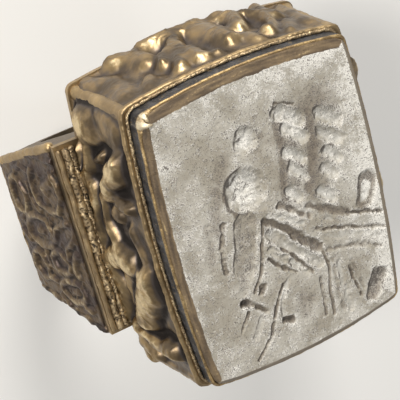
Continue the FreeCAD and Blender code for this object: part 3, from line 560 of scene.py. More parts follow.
def wall(name, quarter, folds, columns, rows=100):
    """One wall of the head, folded and dented like leather, closed at its back and its ends."""
    along, up = np.meshgrid(np.linspace(-1, 1, columns), np.linspace(0, 1, rows) ** 1.15)
    across = quarter % 2 == 0
    reach_x, reach_y = head_reach(up)
    outward, half, bow = (reach_x, reach_y, SIDE_BOW) if across else (reach_y, reach_x, END_BOW)
    half = half - SHEET
    height = WALL_TOP - WALL_FOOT
    middle_half = float(half.mean())
    strokes = []
    # The raised forms are a little broader than their strokes, and none goes past these heights
    spread, deepest, tallest, full_hollow = 1.15, -0.16, 1.28, 0.30
    for points, radii, rise, fall in folds:
        wide = (radii[0] * spread, radii[1] * spread) if rise > 0 else radii
        strokes.append(([(a * middle_half, w * height) for a, w in points], wide, rise, fall))
    # Followed anticlockwise, the -X and +Y walls run backwards
    way = 1 if quarter in (0, 3) else -1
    x, y = along * way * middle_half, up * height
    # Each wall has clouds of its own
    flat = spots_at(x, y, quarter * 9.0)
    sway = clouds(flat, 1.9, 3.0, 2)
    drift = clouds(flat, 1.7, 11.0, 2)
    wander, blend = 0.30, 0.24
    rise = stroke_field(x + sway * wander, y + drift * wander, strokes, blend)
    rise = softened(rise, 4) if across else softened(rise, 12) * 0.80
    # The sheet runs out over the ledge at its foot
    ear = np.clip((HEAD_BAND - 0.2 - np.abs(x)) / 0.9, 0, 1) if across else np.zeros_like(x)
    skirt = (0.28 + ear * (0.74 + 0.25 * sway + 0.15 * drift)) * np.exp(-((y / 0.30) ** 1.2))
    rise = np.maximum(rise, skirt) + 0.35 * np.minimum(rise, skirt)
    rise = softened(rise, 2)
    # Creases like those of crumpled leather, stronger on the forms than between them
    creased = 1 - np.abs(clouds(flat * np.array([0.8, 1.3, 1.0]), 1.5, 25.0)) * 2.2
    dents = clouds(flat, 0.85, 5.0) * 0.030
    dents = dents + 0.11 * np.clip(creased, 0, 1) ** 2 * np.clip(rise, 0.2, 1.0)
    scratch = clouds(flat * np.array([2.2, 0.8, 1.0]), 0.35, 8.0) * 0.005
    rise = rise + dents + scratch
    # The forms die away towards the corners and the rim
    to_corner = np.clip((1 - np.abs(along)) * middle_half / 0.45, 0, 1)
    fade = to_corner * np.clip((1 - up) * height / 0.7, 0, 1) ** 0.7
    rise = np.clip(0.06 + (rise - 0.06) * fade, deepest, tallest)
    # How far each place lies below its surroundings; the finish paints shade and shadow there
    hollow = softened(rise, 70) - rise
    # Deeper shade at the feet of the forms, on the side away from the stone
    over = np.roll(softened(rise, 10), -9, axis=0)
    over[-9:] = rise[-9:]
    hollow = hollow + 0.5 * np.clip(over - rise, 0, 1)
    rubbed = rise
    if not across:
        # The end walls are painted light where they lean back towards the stone, with less painted shade
        # between the forms
        facing = np.clip(-np.gradient(softened(rise, 6), axis=0) / 0.045, 0, 1)
        rubbed, hollow = 0.45 * rise + 0.75 * facing, hollow * 0.40
    reach = outward + bow * (1 - along**2) + rise
    level = WALL_FOOT + height * up
    back = outward - SHEET + bow * (1 - along**2)
    front = turned(quarter, reach, half * along, level)
    inner = turned(quarter, back, half * along, level)[[0, -1]]
    points = np.concatenate([front.reshape(-1, 3), inner.reshape(-1, 3)])
    total = rows * columns
    faces = grid_faces(rows, columns)
    for column in range(columns - 1):
        foot, top = total + column, total + columns + column
        last = (rows - 1) * columns + column
        faces.append((column + 1, column, foot, foot + 1))
        faces.append((last, last + 1, top + 1, top))
        faces.append((foot + 1, foot, top, top + 1))
    faces.append(tuple(range(0, total, columns)) + (total + columns, total))
    faces.append((total + columns - 1, total + 2 * columns - 1) + tuple(range(total - 1, 0, -columns)))
    kept = {
        "rise": np.append(rubbed, np.zeros(2 * columns)),
        "hollow": np.append(hollow / full_hollow, np.ones(2 * columns)),
    }
    return piece(name, points, faces, RAISED, [name], kept)


def turned(quarter, outward, along, level):
    """Points given outwards from and along one side of the head, in the ring's own axes."""
    places = [(outward, along), (-along, outward), (-outward, -along), (along, -outward)]
    x, y = places[quarter]
    return spots_at(x, y, level)


# The engraved stone

# The engraving in millimetres from the middle of the face: the line that the tool followed, its
# radius at both ends, its depth, how its flanks fall, and its tone, from -1, brown, to 1, white
ENGRAVING = [
    ([(-1.28, 6.32)], (1.55, 1.55), -0.03, 1.0, -0.55),
    ([(-1.28, 6.32)], (1.06, 1.06), -0.36, 0.85, 1.20),
    ([(-2.22, 2.85), (-2.10, 2.75)], (1.72, 1.72), -0.58, 0.80, 0.75),
    ([(-2.05, 1.95), (-1.15, 1.20)], (0.80, 0.50), -0.12, 0.90, 0.40),
    ([(2.30, 6.80), (2.00, 4.60), (1.60, 2.40), (1.20, 0.90)], (1.45, 1.25), -0.03, 0.6, -0.50),
    ([(4.90, 6.60), (4.70, 4.40), (4.20, 2.60), (3.50, 0.80)], (1.90, 1.40), -0.03, 0.6, -0.52),
    ([(1.30, 6.60), (1.40, 4.60), (0.90, 2.40), (0.60, 0.90)], (0.45, 0.35), -0.06, 0.9, -0.60),
    ([(3.90, 6.40), (3.85, 4.40), (3.55, 2.60), (2.75, 1.00)], (0.55, 0.45), -0.06, 0.9, -0.65),
    ([(1.72, 7.30), (3.05, 6.25)], (0.66, 0.78), -0.36, 0.80, 0.85),
    ([(2.05, 5.95), (3.30, 4.85)], (0.52, 0.58), -0.30, 0.80, 0.80),
    ([(1.72, 4.22), (2.75, 3.38)], (0.56, 0.50), -0.32, 0.80, 0.90),
    ([(1.80, 3.00), (2.75, 1.85)], (0.50, 0.42), -0.30, 0.80, 0.85),
    ([(1.22, 1.42), (1.85, 0.62)], (0.55, 0.48), -0.32, 0.80, 0.85),
    ([(4.95, 6.08), (6.12, 5.05)], (0.60, 0.62), -0.34, 0.80, 0.85),
    ([(4.85, 4.66), (5.98, 3.66)], (0.56, 0.52), -0.32, 0.80, 0.80),
    ([(4.88, 3.16), (5.72, 2.24)], (0.54, 0.48), -0.32, 0.80, 0.85),
    ([(4.42, 1.86), (5.02, 1.10)], (0.52, 0.44), -0.26, 0.80, 0.60),
    ([(3.76, 0.30), (4.45, -0.44)], (0.56, 0.50), -0.32, 0.80, 0.95),
    ([(7.66, -0.40), (6.98, -1.92)], (0.86, 0.80), -0.26, 0.80, -1.00),
    ([(7.50, -0.80), (7.05, -1.75)], (0.42, 0.38), -0.10, 0.80, 1.30),
    ([(6.90, -8.25), (6.05, -9.40)], (0.76, 0.70), -0.46, 0.90, -1.20),
    ([(5.75, -2.72), (8.15, -3.74)], (0.28, 0.26), 0.05, 0.80, 0.70),
    ([(2.43, -0.40), (4.20, -1.55), (5.35, -2.17)], (0.34, 0.40), -0.14, 0.80, -0.70),
    ([(5.35, -2.22), (8.30, -3.26)], (0.17, 0.15), -0.24, 0.70, -0.95),
    ([(2.67, -2.31), (5.09, -3.30), (8.20, -4.52)], (0.18, 0.18), -0.22, 0.70, -0.90),
    ([(3.30, -3.20), (5.48, -3.95), (7.80, -5.05)], (0.34, 0.30), -0.05, 0.80, 0.55),
    ([(3.12, -4.28), (5.48, -4.85), (7.57, -5.92)], (0.20, 0.20), -0.12, 0.80, -0.60),
    ([(-0.90, 0.30), (0.45, -0.65), (1.56, -1.52)], (0.18, 0.26), -0.10, 0.80, 0.75),
    ([(0.10, 0.62), (1.35, -0.40), (2.30, -1.10)], (0.26, 0.28), -0.22, 0.80, -0.85),
    ([(2.02, -0.47), (3.84, -2.10)], (0.20, 0.26), -0.08, 0.80, 0.60),
    ([(-1.28, 0.00), (0.59, -1.74), (2.48, -3.82)], (0.34, 0.42), -0.34, 0.80, -1.00),
    ([(-1.24, -1.10), (0.43, -3.02), (2.20, -4.94)], (0.52, 0.44), -0.24, 0.85, 0.50),
    ([(-0.40, -2.63), (0.45, -3.93), (1.49, -5.41)], (0.15, 0.18), -0.28, 0.70, -1.10),
    ([(-1.37, -2.26), (-0.14, -3.87), (1.19, -5.25)], (0.32, 0.30), -0.20, 0.85, 0.50),
    ([(-1.66, -2.94), (-0.53, -4.36), (0.15, -4.85)], (0.14, 0.12), -0.22, 0.70, -1.00),
    ([(-2.87, 0.40), (-3.25, -1.20), (-3.75, -2.85)], (0.95, 0.88), -0.22, 0.35, -0.38),
    ([(-3.95, -3.50), (-4.30, -4.40)], (0.60, 0.40), -0.10, 0.80, -0.30),
    ([(-4.63, 1.07), (-5.02, -0.62), (-5.17, -2.43)], (0.26, 0.24), -0.20, 0.75, -0.70),
    ([(-1.44, 0.10), (-2.02, -1.97), (-2.67, -3.76), (-3.32, -4.95)], (0.15, 0.17), -0.24, 0.70, -0.90),
    ([(2.69, -3.73), (2.89, -5.97), (2.30, -9.60)], (0.20, 0.14), -0.18, 0.75, -0.75),
    ([(3.30, -5.10), (3.35, -9.40)], (0.22, 0.26), -0.10, 0.80, -0.40),
    ([(3.74, -5.64), (3.86, -9.63)], (0.28, 0.32), -0.14, 0.80, 0.60),
    ([(4.44, -6.32), (5.03, -9.10)], (0.13, 0.10), -0.28, 0.70, -1.10),
    ([(4.75, -6.10), (5.35, -8.60)], (0.26, 0.20), -0.10, 0.80, -0.45),
    ([(-0.72, -5.18), (-1.50, -6.58), (-1.66, -7.85)], (0.20, 0.26), -0.14, 0.80, 0.65),
    ([(-1.05, -5.22), (-1.86, -6.46), (-2.38, -7.60)], (0.13, 0.15), -0.28, 0.70, -1.10),
    ([(-2.68, -4.81), (-2.95, -5.20)], (0.34, 0.22), -0.40, 0.75, -1.25),
    ([(-4.45, -5.31), (-4.10, -5.55)], (0.40, 0.26), -0.48, 0.75, -1.40),
    ([(-1.12, -8.30), (-1.70, -8.10)], (0.36, 0.24), -0.36, 0.75, -1.25),
    ([(-3.91, -5.65), (-2.93, -6.70)], (0.24, 0.28), -0.30, 0.75, -0.80),
    ([(-4.32, -6.17), (-5.23, -7.52)], (0.15, 0.10), -0.22, 0.70, -1.00),
    ([(-2.51, -7.95), (-3.26, -9.04), (-4.47, -10.20)], (0.16, 0.12), -0.24, 0.70, -1.00),
    ([(-3.55, -7.20), (-4.30, -8.40)], (0.34, 0.30), -0.10, 0.80, 0.45),
    ([(0.45, -7.30), (0.25, -8.10)], (0.95, 0.85), -0.06, 0.80, -0.50),
    ([(1.95, -6.20), (1.75, -9.20)], (0.12, 0.14), -0.16, 0.75, -0.60),
    ([(-3.40, 5.30), (-4.95, 2.30), (-5.10, 0.80)], (0.85, 0.60), -0.02, 1.00, -0.42),
    ([(-5.67, 1.36), (-6.21, -1.78)], (0.45, 0.50), -0.04, 1.00, -0.40),
    ([(1.22, 7.55), (1.67, 8.00), (3.05, 7.55)], (0.09, 0.07), -0.16, 0.70, -1.10),
    ([(-0.05, 6.10), (0.55, 5.30)], (0.45, 0.35), -0.05, 0.90, -0.45),
    ([(-7.30, 8.60), (-7.50, 0.00), (-7.40, -9.60)], (0.90, 0.75), -0.01, 0.80, -0.20),
    ([(-2.16, 4.65), (-3.09, 4.40), (-3.76, 3.73), (-4.01, 2.80), (-3.76, 1.88), (-3.22, 1.28)],
     (0.12, 0.20), 0.0, 0.80, -1.05),
]


def stone_tablet(count_x=320, count_y=400):
    """The tablet's engraved face, worn bevel and side."""
    s, t = np.meshgrid(np.linspace(-1, 1, count_x), np.linspace(-1, 1, count_y))
    pull = 1 - 0.0215 * (s * s * t * t) ** 9
    x = s * (STONE_X + SIDE_BOW * (1 - t * t)) * pull
    y = t * (STONE_Y + END_BOW * (1 - s * s)) * pull
    inset = np.minimum((1 - np.abs(s)) * STONE_X, (1 - np.abs(t)) * STONE_Y)
    flat = spots_at(x, y, 0.0)
    broad = clouds(flat, 1.4, 2.0)
    other = clouds(flat, 0.9, 12.0)
    fine = clouds(flat, 0.30, 6.0, 4)
    ragged = clouds(flat, 0.5, 16.0)
    grit = rng.normal(0, 1, x.shape)
    # The bevel is widest at the +Y side, gilt there and at the -X side, and thin and grey at the rest
    beside = (1 - np.abs(s)) * STONE_X < (1 - np.abs(t)) * STONE_Y
    worn_side = np.where(beside, s > 0, t < 0)
    width = BEVEL * np.where(worn_side, 0.50, np.where(beside, 0.72, 1.0)) * (1 + 0.10 * broad + 0.05 * fine)
    fall = np.clip(1 - inset / width, 0, 1)
    depth, tone = np.zeros_like(x), np.zeros_like(x)
    shifted_x, shifted_y = x + 0.16 * broad + 0.06 * fine, y + 0.16 * other + 0.06 * fine
    for line, radii, deep, steepness, shade in ENGRAVING:
        form = stroke_field(shifted_x, shifted_y, [(line, radii, 1.0, steepness)], 0.02)
        thin = max(radii) < 0.35
        form = np.clip(form * (1.0 + (0.9 if thin else 0.3) * ragged) - (0.12 if thin else 0.0), 0, 1)
        depth = np.where(deep < 0, np.minimum(depth, deep * form), depth + deep * form)
        tone = tone * (1 - 0.75 * form) + shade * form
    hidden = np.clip(inset / 0.4, 0, 1)
    depth = softened(depth, 1) * hidden
    cut = np.clip(-depth / 0.40, 0, 1)
    around = softened(cut, 30)
    step_y, step_x = np.gradient(softened(depth, 1))
    spacing = 2 * STONE_X / count_x
    # Painted shade at the left and the upper edge of each hollow, the sides turned away from the light
    edge_shade = np.clip((-step_x + 0.6 * step_y) / spacing, 0, 1.2)
    pit_seeds = clouds(flat, 0.42, 20.0, 2)
    pits = np.clip(pit_seeds - 0.36, 0, 1) * 0.28 * (0.3 + around)
    z = FACE + depth - pits + 0.014 * fine + 0.016 * broad + 0.0045 * grit
    z = z - BEVEL_DROP * fall**1.2 - 0.03
    z = np.minimum(z, FACE)
    points = [spots_at(x, y, z).reshape(-1, 3)]
    faces = grid_faces(count_y, count_x)
    total = count_x * count_y
    rim = grid_border(count_y, count_x)
    skirt = points[0][rim].copy()
    skirt[:, 2] = gem_low[2]
    points.append(skirt)
    for number in range(len(rim)):
        following = (number + 1) % len(rim)
        faces.append((rim[following], rim[number], total + number, total + following))
    faces.append(tuple(range(total + len(rim) - 1, total - 1, -1)))
    bevel = np.clip(0.5 + (width - inset) / 0.30, 0, 1)
    # Streaks that run along the bevel
    lines = spots_at(np.where(beside, y, x) / 2.2, inset / 0.20, np.where(beside, 0.0, 7.0))
    vein = 0.5 + 0.50 * clouds(lines, 1.0, 27.0, 4)
    # White crust is thickest by the +X edge and along the +X half of the upper one
    rime = np.clip(1 - inset / 2.6, 0, 1) * np.where(worn_side & ~beside, 0.3, 1.0)
    rime = rime * np.where(x < 0, 0.45, 1.0)
    kept = {
        "tone": np.clip(tone, -1.5, 1.1),
        "edge_shade": edge_shade,
        "bevel": bevel,
        "near": np.clip(around * 2.6 - cut * 2.0, 0, 1),
        "rime": rime,
        "vein": vein,
        "gilt": np.where(worn_side, 0.0, 1.0),
    }
    # The tablet's side has the bevel's colour and none of the rest
    for label, amounts in kept.items():
        kept[label] = np.append(amounts, np.full(len(rim), float(label == "bevel")))
    return piece("stone_tablet", np.concatenate(points), faces, STONE, ["engraved_gem"], kept)


# Wires, collar and bands


def cushion_line(half_x, half_y, corner, count):
    """Points round a bowed rectangle with rounded corners, evenly apart, and their outward turn."""
    corners = np.array([(half_x, half_y), (-half_x, half_y), (-half_x, -half_y), (half_x, -half_y)])
    sides = []
    for quarter in range(4):
        half, reach, bow = [(half_y, half_x, SIDE_BOW), (half_x, half_y, END_BOW)][quarter % 2]
        end = 1 - 0.8 * corner / half
        s = np.linspace(-end, end, 160)
        sides.append(turned(quarter, reach + bow * (1 - s * s), half * s, 0.0)[:, :2])
    line = []
    for side, turn_at, following in zip(sides, corners, sides[1:] + sides[:1]):
        line.extend(side)
        target = following[0]
        for share in np.linspace(0, 1, 14)[1:-1]:
            line.append((1 - share) ** 2 * side[-1] + 2 * share * (1 - share) * turn_at + share**2 * target)
    line = np.array(line)
    closed = np.concatenate([line, line[:1]])
    walked = np.concatenate([[0], np.cumsum(np.hypot(*np.diff(closed, axis=0).T))])
    even = np.linspace(0, walked[-1], count, endpoint=False)
    places = np.stack([np.interp(even, walked, closed[:, axis]) for axis in range(2)], axis=1)
    run = np.roll(places, -1, axis=0) - np.roll(places, 1, axis=0)
    run /= np.hypot(*run.T)[:, None]
    return places, np.stack([run[:, 1], -run[:, 0]], axis=1), even


def ring_section(count, *spots):
    """A section for each point of a line, from (outward, level) pairs of numbers or of arrays."""
    pairs = [np.stack(np.broadcast_arrays(*spot, np.zeros(count))[:2], axis=1) for spot in spots]
    return np.stack(pairs, axis=1)


def swept(name, places, outward, section, finish, nodes, kept=None):
    """A closed section carried round a closed line; the section differs from point to point."""
    flat = places[:, None, :] + outward[:, None, :] * section[..., :1]
    points = np.concatenate([flat, section[..., 1:]], axis=2).reshape(-1, 3)
    piece(name, points, tube_faces(*section.shape[:2], True), finish, nodes, kept)


def wire(name, line, up, radius, groove, finish, nodes=(), closed=False):
    """A wire along a line of points, with a radius and a groove for each side of each point."""
    run = np.roll(line, -1, axis=0) - np.roll(line, 1, axis=0)
    if not closed:
        run[0], run[-1] = line[1] - line[0], line[-1] - line[-2]
    run /= np.linalg.norm(run, axis=1)[:, None]
    side = np.cross(run, up)
    side /= np.linalg.norm(side, axis=1)[:, None]
    upward = np.cross(side, run)
    angle = np.linspace(0, math.tau, radius.shape[1], endpoint=False)[None, :, None]
    ring = side[:, None, :] * np.cos(angle) + upward[:, None, :] * np.sin(angle)
    points = (line[:, None, :] + ring * radius[..., None]).reshape(-1, 3)
    faces = tube_faces(*radius.shape, closed)
    return piece(name, points, faces, finish, nodes, {"groove": groove})


def walked_length(line):
    """How far along a line each of its points is."""
    return np.concatenate([[0], np.cumsum(np.linalg.norm(np.diff(line, axis=0), axis=1))])


def collar():
    """The upright collar: its lip leans over the stone's bevel and is folded at one corner."""
    places, outward, _ = cushion_line(STONE_X + COLLAR / 2, STONE_Y + COLLAR / 2, CORNER, 1100)
    flat = spots_at(*places.T, 0.0)
    wave, ripple = clouds(flat, 2.4, 7.0), clouds(flat, 0.4, 9.0)
    foot, top = FRONT, COLLAR_TOP
    half = COLLAR / 2
    lean = 0.10 + 0.06 * wave + 0.02 * ripple
    # The folded tab at the corner between the -X and the +Y side
    away = (places[:, 0] + STONE_X - 0.15) ** 2 + (places[:, 1] - STONE_Y + 0.35) ** 2
    tab = np.exp(-((away / 0.55) ** 1.4))
    tab = tab * (1 + 0.8 * ripple + 0.4 * wave)
    lean = lean + 0.80 * tab
    lip = top + 0.04 * ripple + 0.05 * wave + 0.03
    swell = 0.03 * ripple
    # The tab climbs over the bevel to the face
    climb = np.maximum(FACE + 0.07 - lip, 0) * np.clip(tab * 1.2, 0, 1)
    section = ring_section(
        len(places),
        (half + swell, foot),
        (half + swell + 0.02, foot + 0.35),
        (half + swell * 2, foot + 0.75 + 0.05 * wave),
        (half + swell, lip - 0.30),
        (half + 0.02, lip - 0.10),
        (half - 0.03, lip - 0.01 + 0.2 * climb),
        (-lean * 0.5, lip + 0.02 + climb + 0.12 * ripple * tab),
        (-half - lean, lip - 0.03 + climb),
        (-half - lean * 0.9, lip - 0.12 + climb * 0.9),
        (-half, lip - 0.30),
        (-half, foot),
    )
    mark = np.array([0, 0, 0, 0.10, 0.65, 1, 1, 1, 1, 0.5, 0])
    tab = np.repeat(tab, len(mark))
    kept = {"lip": np.tile(mark, len(places)) + tab * 0.4, "tab": tab}
    swept("bezel_collar_sheet", places, outward, section, COLLAR_SHEET, ["bezel_collar"], kept)


def grained(walked, sides, radius, pitch, bite, seed, wild=0.55):
    """The radius of a rope of worn grains at each point, and how deep in a groove the point lies."""
    angle = np.linspace(0, math.tau, sides, endpoint=False)
    turns = walked[:, None] / pitch
    uneven = clouds(spots_at(turns, np.cos(angle), np.sin(angle)), 0.9, seed)
    crest = np.abs(np.cos(math.pi * (turns + wild * uneven + 0.14 * np.sin(angle)))) ** 0.8
    return radius * (1 - bite + bite * crest + 0.3 * wild * uneven), np.clip(1 - crest - 0.3 * uneven, 0, 1)


def setting_wire():
    """The fine grained wire at the collar's foot."""
    radius = 0.13
    reach = COLLAR + radius
    places, _, walked = cushion_line(STONE_X + reach, STONE_Y + reach, CORNER + reach, 2600)
    line = spots_at(*places.T, FRONT + radius * 0.75)
    swell = 1 + 0.20 * clouds(line, 0.7, 15.0)[:, None]
    sides, pitch, bite = 12, 0.38, 0.24
    radii, groove = grained(walked, sides, radius * swell, pitch, bite, 4.0, 1.2)
    wire("fine_grained_wire", line, UPWARD, radii, groove, GRAINED, ["twisted_wire"], True)


def rim():
    """The front plate as a softly rounded rim that laps over the tops of the walls."""
    places, outward, _ = cushion_line(FRONT_X, FRONT_Y, CORNER + 0.3, 1000)
    flat = spots_at(*places.T, 0.0)
    wave, ripple = clouds(flat, 1.8, 31.0), clouds(flat, 0.40, 33.0)
    side = np.abs(outward[:, 0]) > 0.7
    width = np.where(side, FRONT_X - STONE_X, FRONT_Y - STONE_Y)
    width = np.convolve(np.concatenate([width[-20:], width, width[:20]]), np.ones(41) / 41, "valid")
    inner = -width + 0.01
    # Broader and rounder where it turns the head's corners
    at_corner = np.minimum(np.abs(outward[:, 0]), np.abs(outward[:, 1])) * 1.41
    edge = 0.07 * wave + 0.03 * ripple + 0.14 * at_corner
    top, foot = FRONT, WALL_TOP
    crown = top + 0.02 + 0.04 * ripple + 0.10 * at_corner
    section = ring_section(
        len(places),
        (inner, foot),
        (edge - 0.10, foot - 0.06),
        (edge + 0.04, foot - 0.04),
        (edge + 0.12, foot + 0.06),
        (edge + 0.13, foot + 0.17),
        (edge + 0.08, crown - 0.03),
        (edge - 0.02, crown + 0.06),
        (edge - 0.14, crown + 0.05),
        (edge - 0.24, crown - 0.04),
        (inner, top),
    )
    swept("front_plate_rim", places, outward, section, TRIM, ["front_plate"])


def corner_bands():
    """The four smooth bands that close the head's corners, flat on both walls and soft at the edge."""
    for name, sign_x, sign_y in (
        ("upper_right", 1, 1), ("upper_left", -1, 1), ("lower_left", -1, -1), ("lower_right", 1, -1),
    ):
        rows, sides = 90, 9
        up = np.linspace(0, 1, rows)
        half_x, half_y = head_reach(up)
        level = WALL_FOOT + (WALL_TOP - WALL_FOOT) * up
        spots = spots_at(sign_x * 3.0, sign_y * 3.0, level)
        wave, ripple = clouds(spots, 1.6, 41.0), clouds(spots, 0.5, 43.0)
        # The bands swell where they meet the ledge
        swell = 0.14 * np.exp(-((level - WALL_FOOT) / 0.45) ** 2)
        proud = (0.13 + 0.05 * wave + 0.02 * ripple + swell)[:, None]
        reach = (0.84 + 0.10 * wave + 0.5 * swell)[:, None]
        round_by = 0.60
        angle = np.linspace(0, math.pi / 2, sides)[None, :]
        turn_x = half_x[:, None] + proud - round_by + round_by * np.cos(angle) ** 0.8
        turn_y = half_y[:, None] + proud - round_by + round_by * np.sin(angle) ** 0.8
        under, wall_x, wall_y = SHEET + 0.05, half_x[:, None], half_y[:, None]
        near_x, edge_x = [wall_x - 0.02, wall_x + proud * 0.75], [wall_x - reach * 0.75, wall_x - reach]
        near_y, edge_y = [wall_y + proud * 0.75, wall_y - 0.02], [wall_y - reach, wall_y - reach * 0.75]
        ring_x = np.concatenate([wall_x - under, *near_x, turn_x, *edge_x], axis=1)
        ring_y = np.concatenate([wall_y - under, *edge_y, turn_y, *near_y], axis=1)
        points = spots_at(sign_x * ring_x, sign_y * ring_y, level[:, None]).reshape(-1, 3)
        node = name + "_corner_strip"
        piece(node + "_band", points, tube_faces(*ring_x.shape), TRIM, [node])


def shoulder_frame(sign):
    """One shoulder's face: its corner at the ledge, the way down it and the way out of it."""
    plate_corner, plate_top = span("base_plate")
    ledge = np.array([sign * plate_top[0], 0.0, plate_corner[2]])
    keel = np.array([sign * (plate_top[0] + KEEL_PROUD), 0.0, KEEL_LEVEL])
    length = np.linalg.norm(keel - ledge)
    down = (keel - ledge) / length
    out = np.array([-down[2] * sign, 0.0, down[0] * sign])
    return ledge, down, out, length


def closing_in(steps, radius):
    """How thick a rod is along its length when both its ends are rounded over."""
    to_end = np.minimum(steps, steps[-1] - steps)
    return np.sqrt(np.clip(1 - np.clip((radius - to_end) / radius, 0, 1) ** 2, 0.0004, 1))[:, None]


def shoulder_trim(side, sign):
    """What edges one shoulder: the ledge's rope and wire, the two edge bands and the keel band."""
    ledge, down, out, length = shoulder_frame(sign)
    sides, grain_sides, keel_sides = 18, 14, 16
    for kind, node in (("rope", side + "_foot_rope"), ("wire", side + "_foot_wire")):
        low, high = span(node)
        radius = (high[2] - low[2]) / 2
        steps = np.linspace(low[1], high[1], 460)
        spots = spots_at(sign * 5.0, steps, 0.0)
        sway = clouds(spots, 2.0, 51.0 if kind == "rope" else 53.0, 2) * 0.06
        swell = 1 + 0.16 * clouds(spots, 0.9, 57.0)[:, None]
        line = spots_at((low[0] + high[0]) / 2 + sway, steps, low[2] + radius * 0.9)
        if kind == "rope":
            radii, groove = grained(steps, sides, radius * 1.12 * swell, 0.80, 0.20, 61.0 + sign, 1.1)
            grains = line + np.array([-0.47 * sign, 0.0, -0.06])
            rough, gaps = grained(steps, grain_sides, 0.25 * swell, 0.55, 0.26, 67.0 + sign, 1.2)
            rough = rough * closing_in(steps - steps[0], 0.25)
            wire(side + "_ledge_grains", grains, UPWARD, rough, gaps, GRAINED)
        else:
            radii, groove = grained(steps, sides, radius * 0.85 * swell, 1.7, 0.10, 63.0 + sign)
            groove = groove * 0.5
        radii = radii * closing_in(steps - steps[0], radius)
        finish, slot = (GRAINED, "grained_wire") if kind == "rope" else (RUBBED, "gilt_trim")
        wire(node + "_worked", line, UPWARD, radii, groove, finish, [node])
    for name, way in (("upper", 1), ("lower", -1)):
        node = "%s_%s_edge_bead" % (side, name)
        share = np.linspace(0, 1, 300)[:, None]
        start = ledge + ALONG * (HEAD_BAND - 0.10) * way + down * 0.1 - out * 0.14
        end = ledge + down * (length - 0.05) + ALONG * (KEEL_BAND - 0.10) * way - out * 0.14
        line = start + (end - start) * share
        steps = walked_length(line)
        lumps = clouds(line, 0.8, 77.0) * (0.10 if way > 0 else 0.30)
        radii, groove = grained(steps, sides, 0.41 * (1 + lumps[:, None]), 2.3, 0.05, 71.0 + sign + way)
        radii = radii * closing_in(steps, 0.4)
        finish = TRIM if way > 0 else CHASED
        made = wire(node + "_band", line, out, radii, groove, finish, [node])
        # The bead's crests and grooves; the lower bead's finish paints shade in its grooves
        keep(made.data, "rise", 1 - groove)
        keep(made.data, "hollow", groove)
    share = np.linspace(-1, 1, 240)[:, None]
    line = ledge + down * (length - 0.02) - out * 0.17 + ALONG * (KEEL_BAND - 0.15) * share
    steps = walked_length(line)
    swell = 1 + 0.18 * clouds(line, 1.1, 79.0)[:, None]
    radii, groove = grained(steps, keel_sides, 0.30 * swell, 2.0, 0.05, 73.0 + sign)
    radii = radii * closing_in(steps, 0.3)
    wire(side + "_keel_band", line, out, radii, groove, RUBBED)


# Raised ovals on a shoulder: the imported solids' own places across the half band and down the
# length, their half sizes in half bands, and the part of the turn that is left open
SCROLLS = {
    "scroll_near_head": (0.53, 0.28, 0.25, 0.24, 0.24),
    "scroll_at_middle": (0.02, 0.60, 0.17, 0.23, 0.0),
    "scroll_at_keel": (0.38, 0.79, 0.20, 0.11, 0.0),
    "scroll_low": (-0.40, 0.79, 0.15, 0.11, 0.0),
    "scroll_between": (-0.30, 0.40, 0.12, 0.15, 0.0),
    "scroll_at_edge": (-0.62, 0.36, 0.12, 0.20, 0.0),
}
# Low lumps and ridges between the ovals: places in half bands across and shares of the length,
# the radius at both ends, the height and how the flanks fall
SHOULDER_LUMPS = [
    ([(0.52, 0.30), (0.60, 0.20)], (0.55, 0.42), 0.17, 0.6),
    ([(0.40, 0.34)], (0.42, 0.42), 0.12, 0.7),
    ([(0.02, 0.60)], (0.46, 0.46), 0.20, 0.6),
    ([(0.38, 0.79)], (0.50, 0.50), -0.16, 0.8),
    ([(-0.40, 0.79)], (0.50, 0.50), -0.14, 0.8),
    ([(-0.62, 0.36), (-0.62, 0.30)], (0.36, 0.36), 0.14, 0.6),
    ([(0.20, 0.10), (0.10, 0.30), (-0.02, 0.38)], (0.26, 0.22), 0.17, 0.6),
    ([(0.00, 0.08), (-0.10, 0.24), (-0.22, 0.24)], (0.30, 0.24), 0.18, 0.6),
    ([(-0.16, 0.10), (-0.30, 0.20), (-0.42, 0.16)], (0.34, 0.30), 0.20, 0.6),
    ([(-0.44, 0.46), (-0.36, 0.60), (-0.22, 0.62)], (0.26, 0.30), 0.19, 0.6),
    ([(-0.56, 0.60), (-0.52, 0.70)], (0.36, 0.30), 0.20, 0.6),
    ([(-0.78, 0.12), (-0.76, 0.22)], (0.36, 0.30), 0.20, 0.6),
    ([(-0.80, 0.52), (-0.74, 0.62)], (0.32, 0.30), 0.18, 0.6),
    ([(-0.12, 0.86), (-0.04, 0.93)], (0.36, 0.30), 0.17, 0.6),
    ([(0.10, 0.90), (0.16, 0.80)], (0.22, 0.20), 0.13, 0.6),
    ([(0.26, 0.50), (0.40, 0.58), (0.56, 0.56)], (0.22, 0.20), 0.15, 0.6),
    ([(0.66, 0.50), (0.72, 0.62), (0.66, 0.74)], (0.20, 0.22), 0.15, 0.6),
    ([(0.84, 0.06), (0.86, 0.46)], (0.20, 0.18), 0.13, 0.6),
    ([(-0.02, 0.44), (-0.12, 0.50)], (0.30, 0.24), 0.16, 0.6),
]


